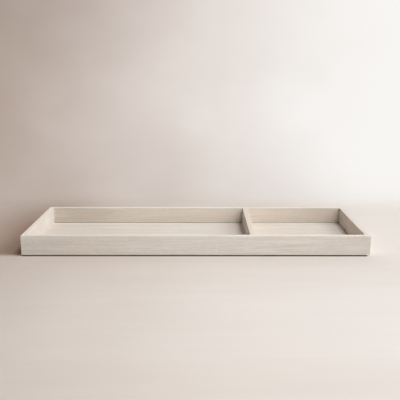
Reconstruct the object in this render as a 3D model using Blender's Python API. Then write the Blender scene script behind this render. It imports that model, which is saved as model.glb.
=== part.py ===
"""Changing tray for the top of a dresser, in metres, +Z up.

Four solid oak rails are mitred at the corners, and a hidden loose tongue holds each mitre. A thin
veneered base panel lies in a rabbet along the rails' lower inner edge, and screws hold it up to
them. A divider, dowelled into the front and back rails, parts a long bay for a changing pad from a
short one for nappies and wipes. The tray stands on ten rubber bumpers. Four threaded inserts in the
back rail take the brackets that tie the tray to its dresser.

The origin is the middle of the tray's outline, on the surface that the bumpers stand on.
X runs from left to right and Y from front to back.
"""

import math

import bmesh
import bpy
from mathutils import Matrix, Vector

MM = 0.001

# Frame of four rails
TRAY_WIDTH = 1320 * MM  # outside, left to right
TRAY_DEPTH = 480 * MM  # outside, front to back
RAIL_HEIGHT = 74 * MM
RAIL_THICKNESS = 20 * MM
EDGE_RADIUS = 1.2 * MM  # where a hand meets the wood
FIT_GAP = 0.3 * MM  # glue line or clearance between pieces that meet
CUT_OVERRUN = 2 * MM  # how far a cutter passes a face that it opens

# Base panel and the rabbet that it lies in
BASE_THICKNESS = 6 * MM
RABBET_WIDTH = 10 * MM

# Divider
DIVIDER_THICKNESS = 20 * MM
SHORT_BAY_WIDTH = 414 * MM  # clear, between the divider and the right end

# Loose tongues in the mitres, with rounded upper and lower edges
TONGUE_THICKNESS = 4 * MM
TONGUE_WIDTH = 16 * MM  # across the mitre, half in each rail
TONGUE_HEIGHT = 46 * MM
TONGUE_FROM_INSIDE = 9.5 * MM  # its middle, along the mitre from the inner corner

# Dowels at the divider's ends
DOWEL_RADIUS = 4 * MM
DOWEL_IN_RAIL = 12 * MM
DOWEL_IN_DIVIDER = 18 * MM
DOWEL_CHAMFER = 1 * MM
DOWEL_SPACING = 32 * MM  # from the lower one to the upper one

# Countersunk screws, driven up through the base panel
SCREW_RADIUS = 1.75 * MM
SCREW_HEAD_RADIUS = 3.5 * MM
SCREW_HEAD_RIM = 0.3 * MM
SCREW_HEAD_HEIGHT = 2.4 * MM
SCREW_TIP = 3 * MM
SCREW_RECESS = 0.3 * MM  # from the panel's underside to the flat of the head
RAIL_SCREW_LENGTH = 16 * MM
DIVIDER_SCREW_LENGTH = 25 * MM
DRIVE_RADIUS = 1.65 * MM  # six-lobed recess, at its lobes
DRIVE_ROOT_RADIUS = 1.2 * MM  # between its lobes
DRIVE_DEPTH = 1.3 * MM
SCREW_FROM_CORNER = 60 * MM  # outermost screw of a row, from the tray's outside
DIVIDER_SCREW_SPAN = 280 * MM  # from the first to the last
LONG_RAIL_SCREWS = 6
END_RAIL_SCREWS = 3
DIVIDER_SCREWS = 3

# Rubber bumpers under the base panel
BUMPER_HEIGHT = 4 * MM  # from the ground to the rails' underside
BUMPER_RADIUS = 9 * MM
BUMPER_TAPER = 0.8 * MM  # how much slimmer it is at its foot
BUMPER_ROUND = 0.6 * MM
BUMPER_INSET = 42 * MM  # an outer bumper's middle, from the tray's outside

# Threaded inserts in the back rail
INSERT_RADIUS = 4.5 * MM
INSERT_BORE_RADIUS = 2.5 * MM
INSERT_LENGTH = 13 * MM
INSERT_CHAMFER = 0.5 * MM
BRACKET_SPACING = 900 * MM  # from the left pair to the right pair
INSERT_SPACING = 25 * MM  # from the lower insert of a pair to the upper one
INSERT_ABOVE_EDGE = 24 * MM  # lower insert, above the rail's lower edge

# How finely round forms are divided
EDGE_SEGMENTS = 3
TONGUE_ARC_SEGMENTS = 6
DOWEL_SIDES = 16
SCREW_SIDES = 12  # two for each lobe of the drive recess
BUMPER_SIDES = 24
INSERT_SIDES = 20
SHARP_ANGLE = math.radians(40)
MERGE_DISTANCE = 0.01 * MM

# Heights and places that follow from the sizes above
RAIL_BOTTOM = BUMPER_HEIGHT
RAIL_TOP = RAIL_BOTTOM + RAIL_HEIGHT
PANEL_TOP = RAIL_BOTTOM + BASE_THICKNESS
PANEL_SEAT = PANEL_TOP + FIT_GAP  # underside of the wood that stands on the panel
JOINT_HEIGHT = (PANEL_SEAT + RAIL_TOP) / 2  # middle of the tongues and dowels
HALF_WIDTH = TRAY_WIDTH / 2
HALF_DEPTH = TRAY_DEPTH / 2
INNER_HALF_WIDTH = HALF_WIDTH - RAIL_THICKNESS
INNER_HALF_DEPTH = HALF_DEPTH - RAIL_THICKNESS
DIVIDER_X = INNER_HALF_WIDTH - SHORT_BAY_WIDTH - DIVIDER_THICKNESS / 2
LONG_BAY_X = (DIVIDER_X - DIVIDER_THICKNESS / 2 - INNER_HALF_WIDTH) / 2
SHORT_BAY_X = INNER_HALF_WIDTH - SHORT_BAY_WIDTH / 2
DOWEL_LENGTH = DOWEL_IN_RAIL + DOWEL_IN_DIVIDER

# Directions from the middle of the tray to each side, by name
SIDES = {
    "front": Vector((0, -1, 0)),
    "back": Vector((0, 1, 0)),
    "left": Vector((-1, 0, 0)),
    "right": Vector((1, 0, 0)),
}

# Colour, roughness and metallic value of each finish
FINISHES = {
    "bleached_oak": ((0.62, 0.55, 0.46), 0.6, 0.0),
    "oak_veneer": ((0.66, 0.59, 0.50), 0.6, 0.0),
    "beech": ((0.60, 0.42, 0.26), 0.7, 0.0),
    "zinc_steel": ((0.62, 0.63, 0.65), 0.35, 1.0),
    "brass": ((0.72, 0.52, 0.24), 0.35, 1.0),
    "grey_rubber": ((0.12, 0.12, 0.12), 0.8, 0.0),
}


def clear_scene():
    """Removes whatever the scene holds."""
    for item in list(bpy.data.objects):
        bpy.data.objects.remove(item, do_unlink=True)


def make_finishes():
    """One Principled material for each finish, by name."""
    made = {}
    for name, (colour, roughness, metallic) in FINISHES.items():
        material = bpy.data.materials.new(name)
        material.use_nodes = True
        shader = material.node_tree.nodes["Principled BSDF"]
        shader.inputs["Base Color"].default_value = (*colour, 1.0)
        shader.inputs["Roughness"].default_value = roughness
        shader.inputs["Metallic"].default_value = metallic
        made[name] = material
    return made


def spread(count, first, last):
    """Evenly spaced values from the first to the last."""
    return [first + (last - first) * index / (count - 1) for index in range(count)]


def finished_mesh(name, form, finish=None):
    """A mesh of that form, smooth but for its corners. It uses the form up."""
    mesh = bpy.data.meshes.new(name)
    form.to_mesh(mesh)
    form.free()
    mesh.shade_smooth()
    mesh.set_sharp_from_angle(angle=SHARP_ANGLE)
    if finish:
        mesh.materials.append(finish)
    return mesh


def add_piece(name, mesh, tray, place):
    """A piece of the tray, with its own origin and turn at that place in the tray's frame."""
    piece = bpy.data.objects.new(name, mesh)
    piece.matrix_basis = place
    piece.parent = tray
    bpy.context.scene.collection.objects.link(piece)
    return piece


def add_board(name, form, finish, tray):
    """A board whose form is made in the tray's frame, with its own origin at its middle."""
    lows = [min(vertex.co[axis] for vertex in form.verts) for axis in range(3)]
    highs = [max(vertex.co[axis] for vertex in form.verts) for axis in range(3)]
    middle = (Vector(lows) + Vector(highs)) / 2
    bmesh.ops.translate(form, vec=-middle, verts=form.verts)
    return add_piece(name, finished_mesh(name, form, finish), tray, Matrix.Translation(middle))


def cut(piece, holes):
    """Cuts holes out of a piece. Each is a mesh and its place in the tray's frame."""
    form = bmesh.new()
    for hole, place in holes:
        placed = hole.copy()
        placed.transform(place)
        form.from_mesh(placed)
        bpy.data.meshes.remove(placed)
    name = f"{piece.name}_cutter"
    cutter = bpy.data.objects.new(name, finished_mesh(name, form))
    cutter.hide_render = True
    cutter.display_type = "WIRE"
    bpy.context.scene.collection.objects.link(cutter)
    joinery = piece.modifiers.new("joinery", "BOOLEAN")
    joinery.operation = "DIFFERENCE"
    joinery.object = cutter
    joinery.solver = "EXACT"


def block(size, centre):
    """A rectangular solid."""
    form = bmesh.new()
    bmesh.ops.create_cube(form, size=1)
    bmesh.ops.scale(form, vec=Vector(size), verts=form.verts)
    bmesh.ops.translate(form, vec=Vector(centre), verts=form.verts)
    return form


def turned(outline, sides, ring=False):
    """A solid turned about Z from (radius, height) pairs.

    The outline starts and ends on the axis, unless it is a ring's, which closes on itself.
    """
    form = bmesh.new()
    points = [form.verts.new((radius, 0, height)) for radius, height in outline]
    pairs = list(zip(points, points[1:]))
    if ring:
        pairs.append((points[-1], points[0]))
    edges = [form.edges.new(pair) for pair in pairs]
    bmesh.ops.spin(
        form,
        geom=points + edges,
        axis=(0, 0, 1),
        cent=(0, 0, 0),
        angle=2 * math.pi,
        steps=sides,
        use_merge=True,
    )
    bmesh.ops.remove_doubles(form, verts=form.verts, dist=MERGE_DISTANCE)
    bmesh.ops.recalc_face_normals(form, faces=form.faces)
    return form


def ease(form, edges):
    """Rounds edges of a board."""
    bmesh.ops.bevel(
        form,
        geom=edges,
        offset=EDGE_RADIUS,
        offset_type="OFFSET",
        segments=EDGE_SEGMENTS,
        profile=0.5,
        affect="EDGES",
    )


def frame_ring():
    """The four rails as one closed ring, with the rabbet and the eased edges."""
    lip = RAIL_THICKNESS - RABBET_WIDTH
    profile = {
        "outer_bottom": (0, RAIL_BOTTOM),
        "lip_bottom": (lip, RAIL_BOTTOM),
        "rabbet_corner": (lip, PANEL_SEAT),
        "inner_bottom": (RAIL_THICKNESS, PANEL_SEAT),
        "inner_top": (RAIL_THICKNESS, RAIL_TOP),
        "outer_top": (0, RAIL_TOP),
    }
    form = bmesh.new()
    rings = [
        [
            form.verts.new((side_x * (HALF_WIDTH - inward), side_y * (HALF_DEPTH - inward), height))
            for side_x, side_y in ((-1, -1), (1, -1), (1, 1), (-1, 1))
        ]
        for inward, height in profile.values()
    ]
    for ring, next_ring in zip(rings, rings[1:] + rings[:1]):
        for corner in range(4):
            after = (corner + 1) % 4
            form.faces.new((ring[corner], ring[after], next_ring[after], next_ring[corner]))
    bmesh.ops.recalc_face_normals(form, faces=form.faces)
    eased = [
        form.edges.get((ring[corner], ring[(corner + 1) % 4]))
        for name, ring in zip(profile, rings)
        for corner in range(4)
        if name != "rabbet_corner"
    ]
    ease(form, eased)
    return form


def slice_off(form, point, normal):
    """Cuts the form by a plane, drops what the normal points to and closes the cut."""
    result = bmesh.ops.bisect_plane(
        form,
        geom=form.verts[:] + form.edges[:] + form.faces[:],
        dist=MERGE_DISTANCE,
        plane_co=point,
        plane_no=normal,
        clear_outer=True,
    )
    rim = [item for item in result["geom_cut"] if isinstance(item, bmesh.types.BMEdge)]
    bmesh.ops.edgeloop_fill(form, edges=rim)


def rail_form(outward):
    """One mitred rail of the ring, on the side that the direction points to."""
    form = frame_ring()
    slice_off(form, Vector(), -outward)
    along = Vector((outward.y, -outward.x, 0))
    outer_corner = Vector((HALF_WIDTH, HALF_DEPTH, 0))
    reach = abs(outward.dot(outer_corner))
    half_length = abs(along.dot(outer_corner))
    for end in (-along, along):
        normal = (end - outward).normalized()
        corner = outward * reach + end * half_length
        slice_off(form, corner - normal * FIT_GAP / 2, normal)
    bmesh.ops.recalc_face_normals(form, faces=form.faces)
    return form


def divider_form():
    """The divider, with its two upper edges eased."""
    length = 2 * (INNER_HALF_DEPTH - FIT_GAP)
    height = RAIL_TOP - PANEL_SEAT
    form = block((DIVIDER_THICKNESS, length, height), (DIVIDER_X, 0, JOINT_HEIGHT))
    upper = [
        edge
        for edge in form.edges
        if all(vertex.co.z > JOINT_HEIGHT for vertex in edge.verts)
        and edge.verts[0].co.y * edge.verts[1].co.y < 0
    ]
    ease(form, upper)
    return form


def panel_form():
    """The base panel, which fills the rabbet to within its fit."""
    reach = RABBET_WIDTH - FIT_GAP
    width = 2 * (INNER_HALF_WIDTH + reach)
    depth = 2 * (INNER_HALF_DEPTH + reach)
    return block((width, depth, BASE_THICKNESS), (0, 0, RAIL_BOTTOM + BASE_THICKNESS / 2))


def tongue_form(gap=0.0):
    """A loose tongue that crosses its mitre along Y, larger by a gap on every side."""
    radius = TONGUE_THICKNESS / 2 + gap
    rise = TONGUE_HEIGHT / 2 + gap - radius
    half_width = TONGUE_WIDTH / 2 + gap
    form = bmesh.new()
    outline = []
    for start, height in ((0, rise), (math.pi, -rise)):
        for angle in spread(TONGUE_ARC_SEGMENTS + 1, start, start + math.pi):
            point = (radius * math.cos(angle), -half_width, height + radius * math.sin(angle))
            outline.append(form.verts.new(point))
    face = form.faces.new(outline)
    grown = bmesh.ops.extrude_face_region(form, geom=[face])
    moved = [item for item in grown["geom"] if isinstance(item, bmesh.types.BMVert)]
    bmesh.ops.translate(form, vec=(0, 2 * half_width, 0), verts=moved)
    bmesh.ops.recalc_face_normals(form, faces=form.faces)
    return form


def dowel_form():
    """A dowel with chamfered ends that runs up from its end in the rail."""
    outline = [
        (0, 0),
        (DOWEL_RADIUS - DOWEL_CHAMFER, 0),
        (DOWEL_RADIUS, DOWEL_CHAMFER),
        (DOWEL_RADIUS, DOWEL_LENGTH - DOWEL_CHAMFER),
        (DOWEL_RADIUS - DOWEL_CHAMFER, DOWEL_LENGTH),
        (0, DOWEL_LENGTH),
    ]
    return turned(outline, DOWEL_SIDES)


def dowel_hole_form():
    """The drilled hole round a dowel."""
    radius = DOWEL_RADIUS + FIT_GAP
    end = DOWEL_LENGTH + FIT_GAP
    return turned([(0, -FIT_GAP), (radius, -FIT_GAP), (radius, end), (0, end)], DOWEL_SIDES)


def screw_form(length):
    """A countersunk wood screw that points up, from the flat of its head."""
    outline = [
        (0, DRIVE_DEPTH),
        (DRIVE_RADIUS, DRIVE_DEPTH),
        (DRIVE_RADIUS, 0),
        (SCREW_HEAD_RADIUS, 0),
        (SCREW_HEAD_RADIUS, SCREW_HEAD_RIM),
        (SCREW_RADIUS, SCREW_HEAD_HEIGHT),
        (SCREW_RADIUS, length - SCREW_TIP),
        (0, length),
    ]
    form = turned(outline, SCREW_SIDES)
    for vertex in form.verts:
        in_recess = vertex.co.z < SCREW_HEAD_HEIGHT and vertex.co.xy.length < SCREW_RADIUS
        side = round(math.atan2(vertex.co.y, vertex.co.x) / (2 * math.pi) * SCREW_SIDES)
        if in_recess and side % 2:
            vertex.co.xy *= DRIVE_ROOT_RADIUS / DRIVE_RADIUS
    return form


def screw_hole_form(length):
    """Countersink, clearance hole and pilot hole round a screw, open below."""
    mouth = -SCREW_RECESS - CUT_OVERRUN
    head = SCREW_HEAD_RADIUS + FIT_GAP
    shank = SCREW_RADIUS + FIT_GAP
    outline = [
        (0, mouth),
        (head, mouth),
        (head, SCREW_HEAD_RIM),
        (shank, SCREW_HEAD_HEIGHT),
        (shank, length - SCREW_TIP),
        (0, length + FIT_GAP),
    ]
    return turned(outline, SCREW_SIDES)


def bumper_form():
    """A rubber bumper on its foot, which is slimmer than its top and rounded."""
    top = BUMPER_HEIGHT - FIT_GAP
    foot = BUMPER_RADIUS - BUMPER_TAPER
    outline = [(0, 0)]
    for angle in spread(EDGE_SEGMENTS + 1, 0, math.pi / 2):
        outward = foot - BUMPER_ROUND * (1 - math.sin(angle))
        outline.append((outward, BUMPER_ROUND * (1 - math.cos(angle))))
    outline += [(BUMPER_RADIUS, top), (0, top)]
    return turned(outline, BUMPER_SIDES)


def insert_form():
    """A threaded insert that runs up from its inner end to its mouth."""
    outline = [
        (INSERT_BORE_RADIUS, 0),
        (INSERT_RADIUS - INSERT_CHAMFER, 0),
        (INSERT_RADIUS, INSERT_CHAMFER),
        (INSERT_RADIUS, INSERT_LENGTH),
        (INSERT_BORE_RADIUS + INSERT_CHAMFER, INSERT_LENGTH),
        (INSERT_BORE_RADIUS, INSERT_LENGTH - INSERT_CHAMFER),
    ]
    return turned(outline, INSERT_SIDES, ring=True)


def insert_hole_form():
    """The drilled hole round an insert, open at its mouth."""
    radius = INSERT_RADIUS + FIT_GAP
    mouth = INSERT_LENGTH + FIT_GAP + CUT_OVERRUN
    return turned([(0, -FIT_GAP), (radius, -FIT_GAP), (radius, mouth), (0, mouth)], INSERT_SIDES)


def tongue_places():
    """The middle of each mitre's tongue, turned to cross the mitre, by the corner's name."""
    places = {}
    for front_or_back in ("front", "back"):
        for left_or_right in ("left", "right"):
            diagonal = SIDES[front_or_back] + SIDES[left_or_right]
            inner_corner = Vector((diagonal.x * INNER_HALF_WIDTH, diagonal.y * INNER_HALF_DEPTH, 0))
            middle = inner_corner + diagonal.normalized() * TONGUE_FROM_INSIDE
            middle.z = JOINT_HEIGHT
            turn = Matrix.Rotation(math.atan2(diagonal.y, diagonal.x), 4, "Z")
            places[f"{front_or_back}_{left_or_right}"] = Matrix.Translation(middle) @ turn
    return places


def dowel_places():
    """Each dowel's end in the rail, turned to run into the divider, by name."""
    places = {}
    for side in ("front", "back"):
        outward = SIDES[side].y
        turn = Matrix.Rotation(outward * math.pi / 2, 4, "X")
        for name, above in (("lower", -DOWEL_SPACING / 2), ("upper", DOWEL_SPACING / 2)):
            end_y = outward * (INNER_HALF_DEPTH + DOWEL_IN_RAIL)
            end = Vector((DIVIDER_X, end_y, JOINT_HEIGHT + above))
            places[f"{side}_{name}"] = Matrix.Translation(end) @ turn
    return places


def screw_places(board):
    """The flat of each screw's head, for the screws that hold the base panel to a board."""
    line_inset = RAIL_THICKNESS - RABBET_WIDTH / 2
    half_x = HALF_WIDTH - SCREW_FROM_CORNER
    half_y = HALF_DEPTH - SCREW_FROM_CORNER
    half_span = DIVIDER_SCREW_SPAN / 2
    if board == "divider":
        spots = [(DIVIDER_X, y) for y in spread(DIVIDER_SCREWS, -half_span, half_span)]
    elif board in ("front", "back"):
        line_y = SIDES[board].y * (HALF_DEPTH - line_inset)
        spots = [(x, line_y) for x in spread(LONG_RAIL_SCREWS, -half_x, half_x)]
    else:
        line_x = SIDES[board].x * (HALF_WIDTH - line_inset)
        spots = [(line_x, y) for y in spread(END_RAIL_SCREWS, -half_y, half_y)]
    height = RAIL_BOTTOM + SCREW_RECESS
    return [Matrix.Translation((x, y, height)) for x, y in spots]


def insert_places():
    """Each insert's inner end, turned so that its mouth opens at the back, by name."""
    turn = Matrix.Rotation(-math.pi / 2, 4, "X")
    end_y = HALF_DEPTH - FIT_GAP - INSERT_LENGTH
    lower = RAIL_BOTTOM + INSERT_ABOVE_EDGE
    places = {}
    for side in ("left", "right"):
        x = SIDES[side].x * BRACKET_SPACING / 2
        for name, z in (("lower", lower), ("upper", lower + INSERT_SPACING)):
            places[f"{side}_{name}"] = Matrix.Translation((x, end_y, z)) @ turn
    return places


def bumper_places():
    """The middle of each bumper's foot, by name."""
    edge_x = HALF_WIDTH - BUMPER_INSET
    edge_y = HALF_DEPTH - BUMPER_INSET
    columns = {"left": -edge_x, "long_bay": LONG_BAY_X, "divider": DIVIDER_X, "right": edge_x}
    places = {
        f"{side}_{name}": Matrix.Translation((x, SIDES[side].y * edge_y, 0))
        for side in ("front", "back")
        for name, x in columns.items()
    }
    places["long_bay_centre"] = Matrix.Translation((LONG_BAY_X, 0, 0))
    places["short_bay_centre"] = Matrix.Translation((SHORT_BAY_X, 0, 0))
    return places


def build_boards(tray, finishes):
    """The six boards, with all their joinery cut."""
    oak = finishes["bleached_oak"]
    tongue_slot = finished_mesh("tongue_slot", tongue_form(FIT_GAP))
    dowel_hole = finished_mesh("dowel_hole", dowel_hole_form())
    insert_hole = finished_mesh("insert_hole", insert_hole_form())
    rail_screw_hole = finished_mesh("rail_screw_hole", screw_hole_form(RAIL_SCREW_LENGTH))
    divider_screw_hole = finished_mesh("divider_screw_hole", screw_hole_form(DIVIDER_SCREW_LENGTH))

    names = {"front": "front_rail", "back": "back_rail", "left": "left_end", "right": "right_end"}
    for side, name in names.items():
        holes = [(tongue_slot, place) for key, place in tongue_places().items() if side in key]
        holes += [(dowel_hole, place) for key, place in dowel_places().items() if side in key]
        holes += [(rail_screw_hole, place) for place in screw_places(side)]
        if side == "back":
            holes += [(insert_hole, place) for place in insert_places().values()]
        cut(add_board(name, rail_form(SIDES[side]), oak, tray), holes)

    divider_holes = [(dowel_hole, place) for place in dowel_places().values()]
    divider_holes += [(divider_screw_hole, place) for place in screw_places("divider")]
    cut(add_board("divider", divider_form(), oak, tray), divider_holes)

    panel_holes = [(rail_screw_hole, place) for side in SIDES for place in screw_places(side)]
    panel_holes += [(divider_screw_hole, place) for place in screw_places("divider")]
    panel = add_board("base_panel", panel_form(), finishes["oak_veneer"], tray)
    cut(panel, panel_holes)


def build_joinery(tray, finishes):
    """The hidden tongues and dowels."""
    tongue = finished_mesh("tongue", tongue_form(), finishes["beech"])
    for name, place in tongue_places().items():
        add_piece(f"{name}_tongue", tongue, tray, place)
    dowel = finished_mesh("dowel", dowel_form(), finishes["beech"])
    for name, place in dowel_places().items():
        add_piece(f"{name}_dowel", dowel, tray, place)


def build_hardware(tray, finishes):
    """Screws, threaded inserts and bumpers."""
    rail_screw = finished_mesh("rail_screw", screw_form(RAIL_SCREW_LENGTH), finishes["zinc_steel"])
    for side in SIDES:
        for number, place in enumerate(screw_places(side), start=1):
            add_piece(f"{side}_base_screw_{number}", rail_screw, tray, place)
    long_form = screw_form(DIVIDER_SCREW_LENGTH)
    divider_screw = finished_mesh("divider_screw", long_form, finishes["zinc_steel"])
    for number, place in enumerate(screw_places("divider"), start=1):
        add_piece(f"divider_screw_{number}", divider_screw, tray, place)
    insert = finished_mesh("insert", insert_form(), finishes["brass"])
    for name, place in insert_places().items():
        add_piece(f"bracket_insert_{name}", insert, tray, place)
    bumper = finished_mesh("bumper", bumper_form(), finishes["grey_rubber"])
    for name, place in bumper_places().items():
        add_piece(f"bumper_{name}", bumper, tray, place)


def main():
    """Builds the whole tray."""
    clear_scene()
    tray = bpy.data.objects.new("changing_tray", None)
    bpy.context.scene.collection.objects.link(tray)
    finishes = make_finishes()
    build_boards(tray, finishes)
    build_joinery(tray, finishes)
    build_hardware(tray, finishes)


main()
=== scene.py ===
"""Finish, joints, hardware and studio for the bleached oak changing tray.

The boards, the panel and the hardware are modelled here with tight joints, rounded arrises, threads
and drives, and stand for the plain solids of the frame. The tongues keep the frame's shape and get
their finish. Everything is in metres, in the frame's own coordinates.
"""

import logging
import math
from collections.abc import Callable, Iterator
from contextlib import contextmanager
from dataclasses import dataclass, field
from enum import Enum
from functools import cached_property
from typing import ClassVar

import bmesh
import bpy
from mathutils import Matrix, Vector


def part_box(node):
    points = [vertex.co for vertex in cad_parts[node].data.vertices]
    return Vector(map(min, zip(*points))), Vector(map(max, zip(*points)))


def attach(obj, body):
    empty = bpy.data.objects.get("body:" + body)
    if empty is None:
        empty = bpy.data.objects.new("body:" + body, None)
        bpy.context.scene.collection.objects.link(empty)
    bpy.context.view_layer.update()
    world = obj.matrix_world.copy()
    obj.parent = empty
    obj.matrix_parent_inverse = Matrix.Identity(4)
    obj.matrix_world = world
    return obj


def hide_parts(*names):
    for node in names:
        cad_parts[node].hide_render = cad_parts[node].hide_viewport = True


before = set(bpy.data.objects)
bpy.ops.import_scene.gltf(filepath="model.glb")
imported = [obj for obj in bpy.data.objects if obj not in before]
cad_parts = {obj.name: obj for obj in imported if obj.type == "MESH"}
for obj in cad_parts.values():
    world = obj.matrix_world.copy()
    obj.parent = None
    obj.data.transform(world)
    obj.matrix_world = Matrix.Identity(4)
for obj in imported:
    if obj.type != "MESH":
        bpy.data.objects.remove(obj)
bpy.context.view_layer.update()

MM = 0.001
ROOT = "root"
NEAR = 0.02 * MM
MERGE = 0.002 * MM
UP = Vector((0.0, 0.0, 1.0))

log = logging.getLogger("changing_tray")

Colour = tuple[float, float, float]
Place = tuple[float, float, float]
Range = tuple[float, float]
Span = tuple[float, float, float, float]
Outline = list[tuple[float, float]]
Piece = bpy.types.Object
Material = bpy.types.Material

PLAIN = (1.0, 1.0, 1.0)
FROM_BEFORE = (-9.0, -8.0)
ON_AND_ON = (8.0, 9.0)


class Grain(Enum):
    """The tray's axis that a board's grain follows, as the turn that brings it onto X."""

    WIDTH = 0.0
    DEPTH = -90.0


class Side(Enum):
    """The four boards of the outer frame, by node, and the direction that each one faces."""

    FRONT = ("front_rail", 0.0, -1.0)
    BACK = ("back_rail", 0.0, 1.0)
    LEFT = ("left_end", -1.0, 0.0)
    RIGHT = ("right_end", 1.0, 0.0)

    @property
    def node(self) -> str:
        """The board's node in the frame."""
        return self.value[0]

    @property
    def outward(self) -> Vector:
        """The direction away from the tray's middle."""
        return Vector((*self.value[1:], 0.0))

    @property
    def along(self) -> Vector:
        """The direction in which the board runs."""
        return Vector((abs(self.value[2]), abs(self.value[1]), 0.0))


class Part(Enum):
    """What a selection in edit mode is made of."""

    EDGES = "EDGE"
    FACES = "FACE"


@contextmanager
def at_the_bench(piece: Piece) -> Iterator[None]:
    """Opens a piece alone in edit mode, and closes it again.

    Args:
        piece: The piece to work on.

    Returns:
        A context in which the piece is edited.
    """
    lay_out(piece)
    bpy.ops.object.mode_set(mode="EDIT")
    try:
        yield
    finally:
        bpy.ops.object.mode_set(mode="OBJECT")


def lay_out(*pieces: Piece) -> None:
    """Selects these pieces and nothing else, with the last one active.

    Args:
        pieces: The pieces to select.
    """
    bpy.ops.object.select_all(action="DESELECT")
    for piece in pieces:
        piece.select_set(True)
        bpy.context.view_layer.objects.active = piece


def mark(piece: Piece, part: Part, test: Callable[[object], bool]) -> None:
    """Selects what passes a test, in edit mode.

    Args:
        piece: The piece that is open.
        part: What is selected.
        test: Says whether one vertex, edge or face is wanted.
    """
    bpy.ops.mesh.select_mode(type=part.value)
    bpy.ops.mesh.select_all(action="DESELECT")
    form = bmesh.from_edit_mesh(piece.data)
    for item in getattr(form, part.name.lower()):
        if test(item):
            item.select_set(True)
    form.select_flush_mode()
    bmesh.update_edit_mesh(piece.data)


def near(first: float, second: float) -> bool:
    """Whether two lengths are the same."""
    return abs(first - second) < NEAR


def take(name: str) -> Piece:
    """Takes up the primitive that was just added.

    Args:
        name: The piece's name.

    Returns:
        The piece, with its place in its mesh.
    """
    bpy.ops.object.transform_apply(location=True, rotation=True, scale=True)
    piece = bpy.context.object
    piece.name = name
    return piece


def block(name: str, low: Vector, high: Vector) -> Piece:
    """Saws a rectangular block.

    Args:
        name: The piece's name.
        low: Its lowest corner.
        high: Its highest corner.

    Returns:
        The block.
    """
    bpy.ops.object.select_all(action="DESELECT")
    bpy.ops.mesh.primitive_cube_add(size=1.0, location=(low + high) / 2, scale=high - low)
    return take(name)


def sheet(name: str, size: float) -> Piece:
    """Lays a square sheet on the ground.

    Args:
        name: The sheet's name.
        size: The length of its sides.

    Returns:
        The sheet.
    """
    bpy.ops.object.select_all(action="DESELECT")
    bpy.ops.mesh.primitive_plane_add(size=size)
    return take(name)


def pull(x: float, y: float, z: float) -> None:
    """Extrudes what is selected, in edit mode."""
    bpy.ops.mesh.extrude_region_move(TRANSFORM_OT_translate={"value": (x, y, z)})


def turn(name: str, outline: Outline, sides: int) -> Piece:
    """Turns a solid about Z, from the bottom up.

    Args:
        name: The piece's name.
        outline: Radius and height at each step, where the last radius may be 0.
        sides: How many sides it has.

    Returns:
        The turned solid.
    """
    radius, height = outline[0]
    bpy.ops.object.select_all(action="DESELECT")
    bpy.ops.mesh.primitive_circle_add(
        vertices=sides, radius=radius, fill_type="NGON", location=(0.0, 0.0, height)
    )
    piece = take(name)
    with at_the_bench(piece):
        bpy.ops.mesh.select_all(action="SELECT")
        for next_radius, next_height in outline[1:]:
            pull(0.0, 0.0, next_height - height)
            if next_radius > 0.0:
                share = next_radius / radius
                bpy.ops.transform.resize(
                    value=(share, share, 1.0), center_override=(0.0, 0.0, next_height)
                )
            else:
                bpy.ops.mesh.merge(type="CENTER")
            radius, height = next_radius, next_height
        close_up()
    return piece


def close_up() -> None:
    """Merges doubled vertices and turns every face outwards, in edit mode."""
    bpy.ops.mesh.select_all(action="SELECT")
    bpy.ops.mesh.remove_doubles(threshold=MERGE)
    bpy.ops.mesh.normals_make_consistent(inside=False)


def slice_off(point: Vector, away: Vector) -> None:
    """Saws along a plane, in edit mode, and closes the cut.

    Args:
        point: A point on the plane.
        away: The direction of what falls off.
    """
    bpy.ops.mesh.select_all(action="SELECT")
    bpy.ops.mesh.bisect(
        plane_co=point, plane_no=away, use_fill=True, clear_outer=True, threshold=MERGE
    )


def lobed(piece: Piece, lobes: int, share: float) -> None:
    """Draws a turned piece in between its lobes.

    Args:
        piece: The piece, turned about Z.
        lobes: How many lobes it has.
        share: Its radius between the lobes, as a share of its radius on them.
    """
    for vertex in piece.data.vertices:
        turned = math.atan2(vertex.co.y, vertex.co.x)
        wave = (1.0 - math.cos(lobes * turned)) / 2
        vertex.co.xy *= 1.0 - (1.0 - share) * wave


@dataclass(frozen=True)
class Thread:
    """A thread's radii between and on its ridges, and its rise in one turn."""

    root: float
    crest: float
    pitch: float
    flat_share: float = 0.3
    steps: int = 16

    def cut(self, name: str, low: float, high: float) -> Piece:
        """Cuts a threaded rod along Z.

        Args:
            name: The rod's name.
            low: Height of its lower end.
            high: Height of its upper end.

        Returns:
            The rod, with flat ends.
        """
        rod = sheet(name, self.pitch)
        flank = (1.0 - self.flat_share) * self.pitch / 2
        depth = self.crest - self.root
        with at_the_bench(rod):
            bpy.ops.mesh.merge(type="CENTER")
            bpy.ops.transform.translate(value=(self.root, 0.0, low - self.pitch))
            for out, rise in ((0.0, self.flat_share * self.pitch), (depth, flank), (-depth, flank)):
                pull(out, 0.0, rise)
        spiral = rod.modifiers.new("thread", "SCREW")
        spiral.screw_offset = self.pitch
        spiral.iterations = math.ceil((high - low) / self.pitch) + 2
        spiral.steps = self.steps
        spiral.render_steps = self.steps
        spiral.use_merge_vertices = True
        spiral.merge_threshold = MERGE
        bpy.ops.object.modifier_apply(modifier=spiral.name)
        with at_the_bench(rod):
            close_up()
            slice_off(low * UP, -UP)
            slice_off(high * UP, UP)
            close_up()
        return rod


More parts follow.
